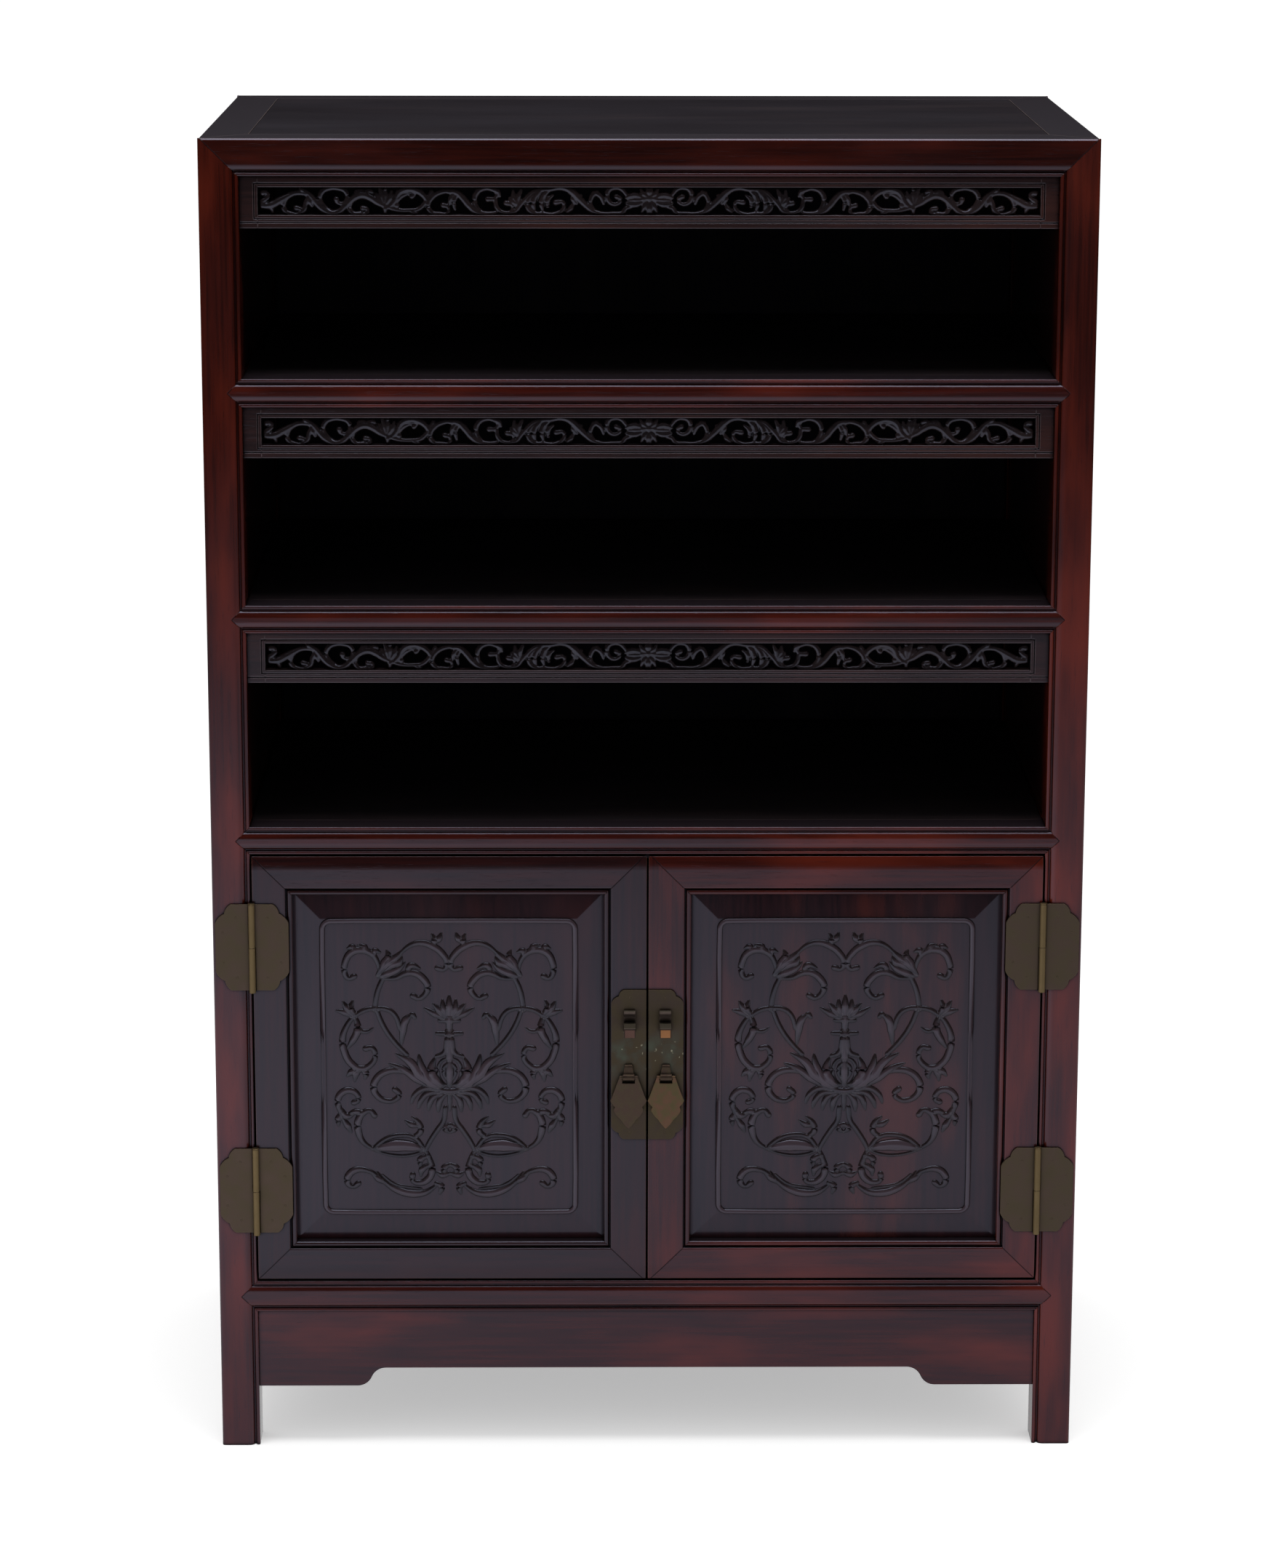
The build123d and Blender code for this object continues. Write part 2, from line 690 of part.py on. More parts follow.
def left_door_frame():
    """The four mitred members around the panel, grooved for it, with tenons behind the mitres."""
    outer, inner = -door_outer, -door_inner
    near, far = -field_outer, -field_inner
    low, high = door_bottom, door_top
    mitre_end = far + door_member_width
    middle_x, middle_z = (near + far) / 2, (field_top + field_bottom) / 2
    outlines = {
        "top_rail": [(near, field_top), (far, field_top), (mitre_end, high), (outer, high)],
        "bottom_rail": [(near, field_bottom), (far, field_bottom), (mitre_end, low), (outer, low)],
        "hinge_stile": [(near, field_bottom), (near, field_top), (outer, high), (outer, low)],
        "meeting_stile": [
            (far, field_bottom), (far, field_top), (mitre_end, high),
            (inner, high), (inner, low), (mitre_end, low),
        ],
    }
    height, width = high - low, door_outer - door_inner
    edges = {
        "top_rail": ((middle_x, 0, field_top), (0, 0, 1), width),
        "bottom_rail": ((middle_x, 0, field_bottom), (0, 0, -1), width),
        "hinge_stile": ((near, 0, middle_z), (-1, 0, 0), height),
        "meeting_stile": ((far, 0, middle_z), (1, 0, 0), height),
    }
    reach = door_groove_length
    groove = block(
        (near - reach, door_panel_recess, field_bottom - reach),
        (far + reach, door_panel_recess + door_panel_thickness, field_top + reach),
    )
    rounds = rounded_edge(low, 1, outer, inner) + rounded_edge(high, -1, outer, inner)
    frame = {}
    for name, outline in outlines.items():
        member = prism_along_y(outline, 0, door_thickness)
        middle, away, length = edges[name]
        member -= run_moulding(door_waste, middle, away, (0, 1, 0), length)
        frame[name] = member - groove - rounds
    bevel = [(inner, 0), (inner, door_thickness), (inner - meeting_edge_bevel, door_thickness)]
    plan = Pos(0, 0, door_bottom - cut_overrun) * make_face(Polyline(*bevel, close=True))
    frame["meeting_stile"] -= extrude(plan, amount=height + 2 * cut_overrun)
    for rail, way in (("top_rail", 1), ("bottom_rail", -1)):
        edge = field_top if way > 0 else field_bottom
        for stile, corner, side in (("hinge_stile", near, -1), ("meeting_stile", far, 1)):
            foot = edge + way * door_tenon_foot
            low_z, high_z = sorted((foot, foot + way * door_tenon_height))
            back = door_tenon_front + door_tenon_thickness
            for extra in (0.0, joint_end_gap):
                low_x, high_x = sorted((corner, corner + side * (door_tenon_reach + extra)))
                tenon = block((low_x, door_tenon_front, low_z), (high_x, back, high_z))
                if extra:
                    frame[stile] -= tenon
                else:
                    frame[rail] += tenon
    return frame


def left_door_panel():
    """The recessed panel: sloping borders up to a field, and a raised line around the field."""
    edge = door_groove_length - joint_end_gap
    back = door_panel_recess + door_panel_thickness
    board = block(
        (-field_outer - edge, door_panel_recess, field_bottom - edge),
        (-field_inner + edge, back, field_top + edge),
    )
    width = field_outer - field_inner - 2 * field_margin
    height = field_top - field_bottom - 2 * field_margin
    radius = field_corner_radius
    inner_radius = radius - field_line_width
    line = RectangleRounded(width, height, radius)
    line -= RectangleRounded(width - 2 * field_line_width, height - 2 * field_line_width, inner_radius)
    face = door_panel_recess - field_rise
    board += block((-field_outer, face, field_bottom), (-field_inner, door_panel_recess, field_top))
    for edge, inward in ((-field_outer, 1), (-field_inner, -1)):
        slope = [(edge, door_panel_recess), (edge + inward * field_margin, face), (edge, face)]
        plan = Pos(0, 0, field_bottom - cut_overrun) * make_face(Polyline(*slope, close=True))
        board -= extrude(plan, amount=field_top - field_bottom + 2 * cut_overrun)
    for edge, inward in ((field_bottom, 1), (field_top, -1)):
        slope = [(door_panel_recess, edge), (face, edge + inward * field_margin), (face, edge)]
        board -= prism_along_x(slope, -field_outer - cut_overrun, -field_inner + cut_overrun)
    middle = (-(field_outer + field_inner) / 2, face, (field_top + field_bottom) / 2)
    raised = extrude(Plane(origin=middle, x_dir=(1, 0, 0), z_dir=(0, -1, 0)) * line, amount=field_line_height)
    return board + raised


def notched_plate(low_x, high_x, low_z, high_z, across, down, notched_side):
    """A plate on the face of the wood; on its notched side, 1 for the left, lobes cut the corners."""
    corners = [(low_x, low_z), (high_x, low_z), (high_x, high_z), (low_x, high_z)]
    middle_x, middle_z = (low_x + high_x) / 2, (low_z + high_z) / 2
    line = Curve()
    last = first = None
    for index, (x, z) in enumerate(corners):
        inward_x = 1 if x < middle_x else -1
        inward_z = 1 if z < middle_z else -1
        if inward_x == notched_side:
            flat_end, upright_end = (x + inward_x * across, z), (x, z + inward_z * down)
            cusp = (x + inward_x * across * corner_cusp[0], z + inward_z * down * corner_cusp[1])
            path = [upright_end, cusp, flat_end] if index in (0, 2) else [flat_end, cusp, upright_end]
        else:
            path = [(x, z)]
        if last is None:
            first = path[0]
        else:
            line += Line(last, path[0])
        for start, end in zip(path, path[1:]):
            middle = ((start[0] + end[0]) / 2, (start[1] + end[1]) / 2)
            length = math.dist(start, end)
            normal = ((end[1] - start[1]) / length, -(end[0] - start[0]) / length)
            via = (middle[0] + normal[0] * corner_lobe, middle[1] + normal[1] * corner_lobe)
            line += ThreePointArc(start, via, end)
        last = path[-1]
    line += Line(last, first)
    sketch = Plane(origin=(0, 0, 0), x_dir=(1, 0, 0), z_dir=(0, -1, 0)) * make_face(line)
    return extrude(sketch, amount=plate_thickness)


def rod_along_x(radius, length, x, y, z):
    return Pos(x, y, z) * Rot(0, 90, 0) * Cylinder(radius, length)


def rod_along_y(radius, low_y, high_y, x, z):
    return Pos(x, (low_y + high_y) / 2, z) * Rot(90, 0, 0) * Cylinder(radius, high_y - low_y)


def nail(x, z):
    """A brass nail through a plate into the wood, its head filed flush with the plate."""
    return rod_along_y(nail_radius, -plate_thickness, -plate_thickness + nail_length, x, z)


def upright_rod(radius, low_z, high_z):
    return Pos(-hinge_axis_x, -hinge_axis_offset, (low_z + high_z) / 2) * Cylinder(radius, high_z - low_z)


def left_hinge(middle):
    """One hinge of the left door: carcass leaf, door leaf and pin, and the nails of each leaf."""
    low, high = middle - hinge_height / 2, middle + hinge_height / 2
    axis_x = -hinge_axis_x
    across, down = hinge_corner_across, hinge_corner_down
    foot, head = low - knuckle_overrun, high
    lower_end, upper_end = middle - knuckle_end_gap / 2, middle + knuckle_end_gap / 2
    lower_knuckle = upright_rod(knuckle_radius, foot, lower_end)
    upper_knuckle = upright_rod(knuckle_radius, upper_end, head)
    room = knuckle_radius + knuckle_side_gap
    carcass_leaf = notched_plate(axis_x - hinge_half_width, axis_x, low, high, across, down, 1)
    carcass_leaf -= upright_rod(room, lower_end, head + cut_overrun)
    carcass_leaf += lower_knuckle
    door_leaf = notched_plate(axis_x, axis_x + hinge_half_width, low, high, across, down, -1)
    door_leaf -= upright_rod(room, foot - cut_overrun, upper_end)
    door_leaf += upper_knuckle
    pin_top = head + pin_head_height
    pin = upright_rod(pin_radius, foot, pin_top)
    pin += upright_rod(knuckle_radius, head + knuckle_end_gap, pin_top)
    carcass_leaf -= upright_rod(pin_radius, foot, head)
    door_leaf -= upright_rod(pin_radius + pin_running_gap, foot, head + cut_overrun)
    nails = {}
    for name, side in (("carcass", -1), ("door", 1)):
        places = [(hinge_half_width - nail_inset, rise) for rise in (-nail_rise, nail_rise)]
        places += [(inner_nail_reach, rise) for rise in (-inner_nail_rise, inner_nail_rise)]
        nails[name] = [nail(axis_x + side * x, middle + rise) for x, rise in places]
    return carcass_leaf, door_leaf, pin, nails


carcass_leaves, hinge_pins, carcass_nails = [], [], []
door_leaves, door_nails = [], []
for middle in hinge_middles:
    carcass_leaf, door_leaf, pin, nails = left_hinge(middle)
    for cut in nails["carcass"]:
        carcass_leaf -= cut
        front_post -= cut
    for cut in nails["door"]:
        door_leaf -= cut
    carcass_leaves += both_sides(carcass_leaf)
    hinge_pins += both_sides(pin)
    for one in nails["carcass"]:
        carcass_nails += both_sides(one)
    door_leaves.append(door_leaf)
    door_nails += nails["door"]


def left_lock_plate():
    low, high = lock_plate_middle - lock_plate_height / 2, lock_plate_middle + lock_plate_height / 2
    return notched_plate(
        -lock_plate_half_width, -door_inner, low, high, lock_corner_across, lock_corner_down, 1
    )


def left_lock_lug():
    """A lug for a padlock: a bar with an eye across it, under a rolled root, and a shank into the wood."""
    face = -plate_thickness
    low_x, high_x = -lug_offset - lug_width / 2, -lug_offset + lug_width / 2
    half = lug_bar_height / 2
    tip = face - lug_reach
    bar = block((low_x, tip, lug_height - half), (high_x, face, lug_height + half))
    bar = fillet(bar.edges().filter_by(Axis.X).group_by(Axis.Y)[0], lug_edge_radius)
    root_height = lug_height + lug_root_rise
    root = rod_along_x(lug_root_radius, lug_width, -lug_offset, face - lug_root_reach, root_height)
    web = block((low_x, face - lug_root_reach, lug_height), (high_x, face, root_height))
    before_plate = block((low_x, tip, lug_height - half), (high_x, face, root_height + lug_root_radius))
    lug = (bar + root + web) & before_plate
    lug += rod_along_y(shank_radius, face, face + shank_length, -lug_offset, lug_height)
    eye_length = lug_width + 2 * cut_overrun
    return lug - rod_along_x(lug_eye_radius, eye_length, -lug_offset, tip + lug_eye_inset, lug_height)


def left_pull_staple():
    """A strap that widens down the plate and goes round the rod of the pull, with a shank into the wood."""
    middle, face = -pull_axis_offset, -plate_thickness
    ring = rod_along_x(staple_radius, staple_width, -pull_offset, middle, pull_height)
    strap_top = pull_height + staple_rise
    ends = ((staple_width / 2, pull_height), (staple_head_width / 2, strap_top))
    outline = [(-pull_offset - half, z) for half, z in ends]
    outline += [(-pull_offset + half, z) for half, z in reversed(ends)]
    strap = prism_along_y(outline, face - staple_thickness, face)
    top_edge = strap.edges().filter_by(Axis.X).group_by(Axis.Z)[-1].sort_by(Axis.Y)[0]
    strap = fillet(top_edge, staple_edge_radius)
    staple = ring + strap
    hole_length = staple_width + 2 * cut_overrun
    staple -= rod_along_x(pull_rod_radius + pull_rod_gap, hole_length, -pull_offset, middle, pull_height)
    shank_height = pull_height + (staple_radius + staple_rise) / 2
    return staple + rod_along_y(shank_radius, face, face + shank_length, -pull_offset, shank_height)


def left_pull():
    """The pendant: a thin shaped leaf that swings on the rod at its head."""
    head = (pull_shoulder_half, pull_shoulder_rise)
    outline = [(across * pull_half_width, -down * pull_length) for across, down, bulge in pull_profile]
    line = Line(head, (-head[0], head[1]))
    for side in (1, -1):
        points = [(side * x, z) for x, z in [head] + outline]
        for start, end, (across, down, bulge) in zip(points, points[1:], pull_profile):
            middle = ((start[0] + end[0]) / 2, (start[1] + end[1]) / 2)
            push = side * bulge / math.dist(start, end)
            via = (middle[0] + push * (start[1] - end[1]), middle[1] + push * (end[0] - start[0]))
            line += ThreePointArc(start, via, end)
    leaf = Plane(origin=(0, pull_thickness / 2, 0), x_dir=(1, 0, 0), z_dir=(0, -1, 0)) * make_face(line)
    pull = extrude(leaf, amount=pull_thickness)
    half_slot = staple_width / 2 + pull_slot_side_gap
    slot_top = pull_shoulder_rise + cut_overrun
    pull -= block((-half_slot, -pull_thickness, -pull_slot_depth), (half_slot, pull_thickness, slot_top))
    pull += rod_along_x(pull_rod_radius, 2 * pull_shoulder_half, 0, 0, 0)
    return Pos(-pull_offset, -pull_axis_offset, pull_height) * pull


frame = left_door_frame()
lock_lug, pull_staple = left_lock_lug(), left_pull_staple()
lock_plate = left_lock_plate()
for fitting in (lock_lug, pull_staple):
    frame["meeting_stile"] -= fitting
    lock_plate -= fitting
lock_nail_drop = lock_plate_height / 2 - nail_inset
lock_nail_heights = [lock_plate_middle - lock_nail_drop, lock_plate_middle + lock_nail_drop]
lock_nails = [nail(-lug_offset, height) for height in lock_nail_heights]
for one in lock_nails:
    lock_plate -= one
for one in lock_nails + door_nails:
    for name in frame:
        frame[name] -= one

left_door = {"door_" + name: shape for name, shape in frame.items()}
left_door["door_panel"] = left_door_panel()
left_door["hinge_leaves"] = door_leaves
left_door["lock_plate"] = lock_plate
left_door["lock_lug"] = lock_lug
left_door["pull_staple"] = pull_staple
left_door["pull"] = left_pull()
left_door["door_nails"] = door_nails + lock_nails

# ---- the whole cabinet ----
turned_post = turned_back(back_post)
pieces["front_left_post"], pieces["front_right_post"] = both_sides(front_post)
pieces["back_right_post"], pieces["back_left_post"] = both_sides(turned_post)
pieces["top_front_rail"] = top_front_rail
pieces["top_back_rail"] = top_back_rail
pieces["top_side_rails"] = both_sides(top_left_rail)
pieces["top_panel"] = top_panel
pieces["panel_battens"] = panel_battens
pieces["shelf_back_rails"] = back_rails[:-1]
pieces["bottom_back_rail"] = back_rails[-1]
pieces["shelf_side_rails"] = [rail for left in left_rails[:-1] for rail in both_sides(left)]
pieces["bottom_side_rails"] = both_sides(left_rails[-1])
pieces["tier_side_panels"] = [panel for left in left_panels[:-1] for panel in both_sides(left)]
pieces["cupboard_side_panels"] = both_sides(left_panels[-1])
pieces["tier_back_panels"] = back_panels[:-1]
pieces["cupboard_back_panel"] = back_panels[-1]
pieces["front_apron"] = front_apron
pieces["side_aprons"] = both_sides(turned_to_side(side_apron))
pieces["back_apron"] = turned_back(front_apron)
pieces["hinge_carcass_leaves"] = carcass_leaves
pieces["hinge_pins"] = hinge_pins
pieces["hinge_nails"] = carcass_nails
for name, shape in left_door.items():
    group = shape if isinstance(shape, list) else [shape]
    pieces["left_" + name] = group
    pieces["right_" + name] = [mirrored(one) for one in group]

os.makedirs("parts", exist_ok=True)
for name, shape in pieces.items():
    group = shape if isinstance(shape, list) else [shape]
    solids = [solid for one in group for solid in one.solids()]
    placed = Pos(0, y_shift, 0) * (solids[0] if len(solids) == 1 else Compound(children=solids))
    export_step(placed, "parts/" + name + ".step")
print(len(pieces), "pieces written")
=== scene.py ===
"""Looks of a Chinese book cabinet: three open tiers over a two-door cupboard, in dark polished rosewood with
patinated brass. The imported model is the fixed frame, and every piece here rides on one of its bodies."""

import math

import bpy
from mathutils import Matrix, Vector


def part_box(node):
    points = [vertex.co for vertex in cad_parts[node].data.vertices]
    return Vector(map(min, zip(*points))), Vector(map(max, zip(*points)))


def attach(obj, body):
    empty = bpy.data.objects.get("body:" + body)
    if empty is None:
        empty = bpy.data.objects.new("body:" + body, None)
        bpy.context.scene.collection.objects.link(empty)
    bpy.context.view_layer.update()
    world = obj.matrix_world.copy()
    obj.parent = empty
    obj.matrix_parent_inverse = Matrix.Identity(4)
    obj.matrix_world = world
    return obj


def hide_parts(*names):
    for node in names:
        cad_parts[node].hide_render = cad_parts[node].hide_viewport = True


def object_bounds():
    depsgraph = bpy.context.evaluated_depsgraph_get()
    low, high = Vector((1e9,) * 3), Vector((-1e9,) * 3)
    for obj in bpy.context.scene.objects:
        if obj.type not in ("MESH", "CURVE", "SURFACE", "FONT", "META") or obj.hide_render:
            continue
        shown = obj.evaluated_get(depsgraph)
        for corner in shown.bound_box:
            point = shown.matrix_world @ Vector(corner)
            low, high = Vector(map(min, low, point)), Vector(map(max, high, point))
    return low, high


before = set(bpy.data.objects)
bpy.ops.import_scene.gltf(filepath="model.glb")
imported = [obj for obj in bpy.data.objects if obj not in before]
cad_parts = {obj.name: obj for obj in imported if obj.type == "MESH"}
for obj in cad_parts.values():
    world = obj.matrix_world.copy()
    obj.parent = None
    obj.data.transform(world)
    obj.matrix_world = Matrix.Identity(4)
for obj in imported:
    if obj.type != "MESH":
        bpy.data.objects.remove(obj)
cad_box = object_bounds()
bpy.ops.object.select_all(action="DESELECT")
MM = 0.001


def corners_of(node):
    """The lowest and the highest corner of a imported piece, in mm."""
    return [[round(value / MM, 2) for value in corner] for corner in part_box(node)]


def middle_of(node):
    """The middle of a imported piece, in mm."""
    return [(low + high) / 2 for low, high in zip(*corners_of(node))]


# Nodes of the materials

COLOUR = {"data_type": "RGBA"}
SMOOTH = {"interpolation_type": "SMOOTHSTEP"}
TIMES = {"operation": "MULTIPLY"}
MINUS = {"operation": "SUBTRACT"}
SIZE = {"operation": "ABSOLUTE"}
LARGER = {"operation": "MAXIMUM"}
ABOVE = {"operation": "GREATER_THAN"}


def linear(hex_code):
    """An sRGB hex colour as the linear one that the shader takes."""
    parts = [int(hex_code[i:i + 2], 16) / 255 for i in (1, 3, 5)]
    return tuple(c / 12.92 if c <= 0.04045 else ((c + 0.055) / 1.055) ** 2.4 for c in parts) + (1.0,)


def add(tree, kind, settings, inputs):
    """The outputs of a new node. Each of its inputs is a value, or the output that is linked into it."""
    made = tree.nodes.new("ShaderNode" + kind)
    for name, value in settings.items():
        setattr(made, name, value)
    for name, value in inputs.items():
        if isinstance(value, bpy.types.NodeSocket):
            tree.links.new(value, made.inputs[name])
        else:
            made.inputs[name].default_value = value
    return made.outputs


def span(low, high):
    """The ends of what a map takes in."""
    return {"From Min": low, "From Max": high}


def given(low, high):
    """The ends of what a map gives out."""
    return {"To Min": low, "To Max": high}


def new_material(name):
    """An empty node material, and its tree."""
    material = bpy.data.materials.new(name)
    material.use_nodes = True
    material.node_tree.nodes.clear()
    return material, material.node_tree


HOLLOW_REACH = 5.0            # mm, how far from an inside corner ambient occlusion darkens the colour: painted shade, partly old wax and dirt
FLAT = 0.985                  # cosine between the softened normal and the face's, where an edge begins
OPEN_AIR = (0.80, 0.95)       # share of free air over a standing edge
CLOSE_AIR = (0.88, 0.50)      # share of free air, from the rim of a hollow to its bottom
MITRE_LEAN = (0.008, 0.045)   # product of the lean along two axes, from bare wood to a mitre's middle
FRONTAL = 0.97                # cosine from which a face counts as a front or a back
UPWARD = 0.9                  # cosine from which a face counts as turned upwards
EDGE_RAYS, AIR_RAYS = 6, 5


def edge_masks(tree, radius, full_edge_cosine=0.86):
    """The normal softened over a radius in mm, then three masks from 0 to 1: how near a standing edge is, how
    far into a hollow a place lies, from ambient occlusion, which the finishes use for painted shade, and
    where a mitre runs. The cosine given last is where an edge takes its full edge tone."""
    soft = add(tree, "Bevel", {"samples": EDGE_RAYS}, {"Radius": radius * MM})[0]
    flat = add(tree, "NewGeometry", {}, {})["Normal"]
    # away from an edge the softened normal is the face's own
    turned = add(tree, "VectorMath", {"operation": "DOT_PRODUCT"}, {0: soft, 1: flat})["Value"]
    edge = add(tree, "MapRange", {}, {"Value": turned} | span(FLAT, full_edge_cosine))[0]
    # the air over a place tells a standing edge from a hollow one
    air = add(tree, "AmbientOcclusion", {"samples": AIR_RAYS}, {"Distance": HOLLOW_REACH * MM})["AO"]
    standing = add(tree, "MapRange", {}, {"Value": air} | span(*OPEN_AIR))[0]
    edge = add(tree, "Math", TIMES, {0: edge, 1: standing})[0]
    # the hollow mask is ambient occlusion, which the finishes use to paint shade into hollows
    hollow = add(tree, "MapRange", SMOOTH, {"Value": air} | span(*CLOSE_AIR))[0]
    # a mitre runs aslant in its face, so there the normal leans along two axes at once
    along = add(tree, "VectorMath", {"operation": "SCALE"}, {0: flat, "Scale": turned})[0]
    lean = add(tree, "VectorMath", MINUS, {0: soft, 1: along})[0]
    lean = add(tree, "SeparateXYZ", {}, {0: lean})
    both = add(tree, "Math", TIMES, {0: lean[0], 1: lean[2]})[0]
    both = add(tree, "Math", SIZE, {0: both})[0]
    aslant = add(tree, "MapRange", SMOOTH, {"Value": both} | span(*MITRE_LEAN))[0]
    facing = add(tree, "SeparateXYZ", {}, {0: flat})[1]
    facing = add(tree, "Math", SIZE, {0: facing})[0]
    facing = add(tree, "Math", ABOVE, {0: facing, 1: FRONTAL})[0]
    mitre = add(tree, "Math", TIMES, {0: aslant, 1: facing})[0]
    return soft, edge, hollow, mitre


def facing_up(tree):
    """1 on the faces that are turned upwards, and 0 on the others."""
    rise = add(tree, "SeparateXYZ", {}, {0: add(tree, "NewGeometry", {}, {})["Normal"]})[2]
    return add(tree, "Math", ABOVE, {0: rise, 1: UPWARD})[0]


# Waxed rosewood: a dense, nearly black red-brown timber, planed, stained and polished with wax. To the eye it
# is deep red where light falls on it, and has a thin violet-grey sheen where the polish mirrors a pale floor.

STREAK_WIDTH = 3.4      # mm, the bands of darker and redder wood across the grain
STREAK_STRETCH = 34.0   # length of a band over its width
PORE_WIDTH = 0.9        # mm, drawn wider than the real 0.2 mm pores so that they show
PORE_STRETCH = 22.0
PORE_SHARE = 0.5        # wax fills the pores, so they are only a little darker than the wood
FLUSH_WIDTH = 52.0      # mm, the soft patches where redder wood shows through the stain
FLUSH_STRETCH = 4.5
CLOUD_SIZE = 170.0      # mm, the slow change of tone over a board
CLOUD_STRETCH = 2.5
WAVE_WIDTH = 38.0       # mm, the faint waves that a hand plane leaves
WAVE_STRETCH = 6.0
WAVE_DEPTH = 0.10       # mm
ARRIS = 1.3             # mm, how far an edge is softened and takes the edge tone: worn polish, and on some woods a painted highlight
HALF_WIDTH = cad_box[1][0]   # m, from the middle of the cabinet to its side
TOP_TIER, DOOR_HEAD = 1.20, 0.80   # m, the z between which the patches grow downwards
SIDE_SHIFT = 0.06       # how much the patches grow from the middle to the right, and shrink to the left
SHEEN = "#DCE2FF"       # the polish mirrors a little bluer than the floor is
JOINT_WAX_AND_SHADE = "#050303"   # old wax with dirt in it along mitres; in hollows this tone is painted shade from ambient occlusion, partly such wax
FIGURE_ROUGHNESS = 0.55
BAND_CUT = (0.25, 0.70)    # noise from which a band is dark to where it has the body's tone
PORE_CUT = (0.60, 0.76)    # noise from which a pore opens to where it is full
CLOUD_CUT = (0.30, 0.70)   # noise from which a finish is at its brightest to where it is at its dullest
LEAST_EDGE_TONE = 0.55          # share of the edge tone, wear and on some woods a painted highlight, that an edge gets where the wood is hardest
CREST_BAND = 1.5           # mm, from the tops of a carving down to where their lighter tone, wear and a painted highlight, ends
WAX_AND_SHADE_SHINE = 0.2          # share of the polish that is left where dirty wax lies along mitres, and where hollows are darkened as painted shade
FADED_ROUGHNESS = 0.42     # of the faces turned upwards, which dust has dulled
PORE_BUMP, PORE_DEPTH = 0.35, 0.08   # strength, and mm
WOOD_IOR = 1.5


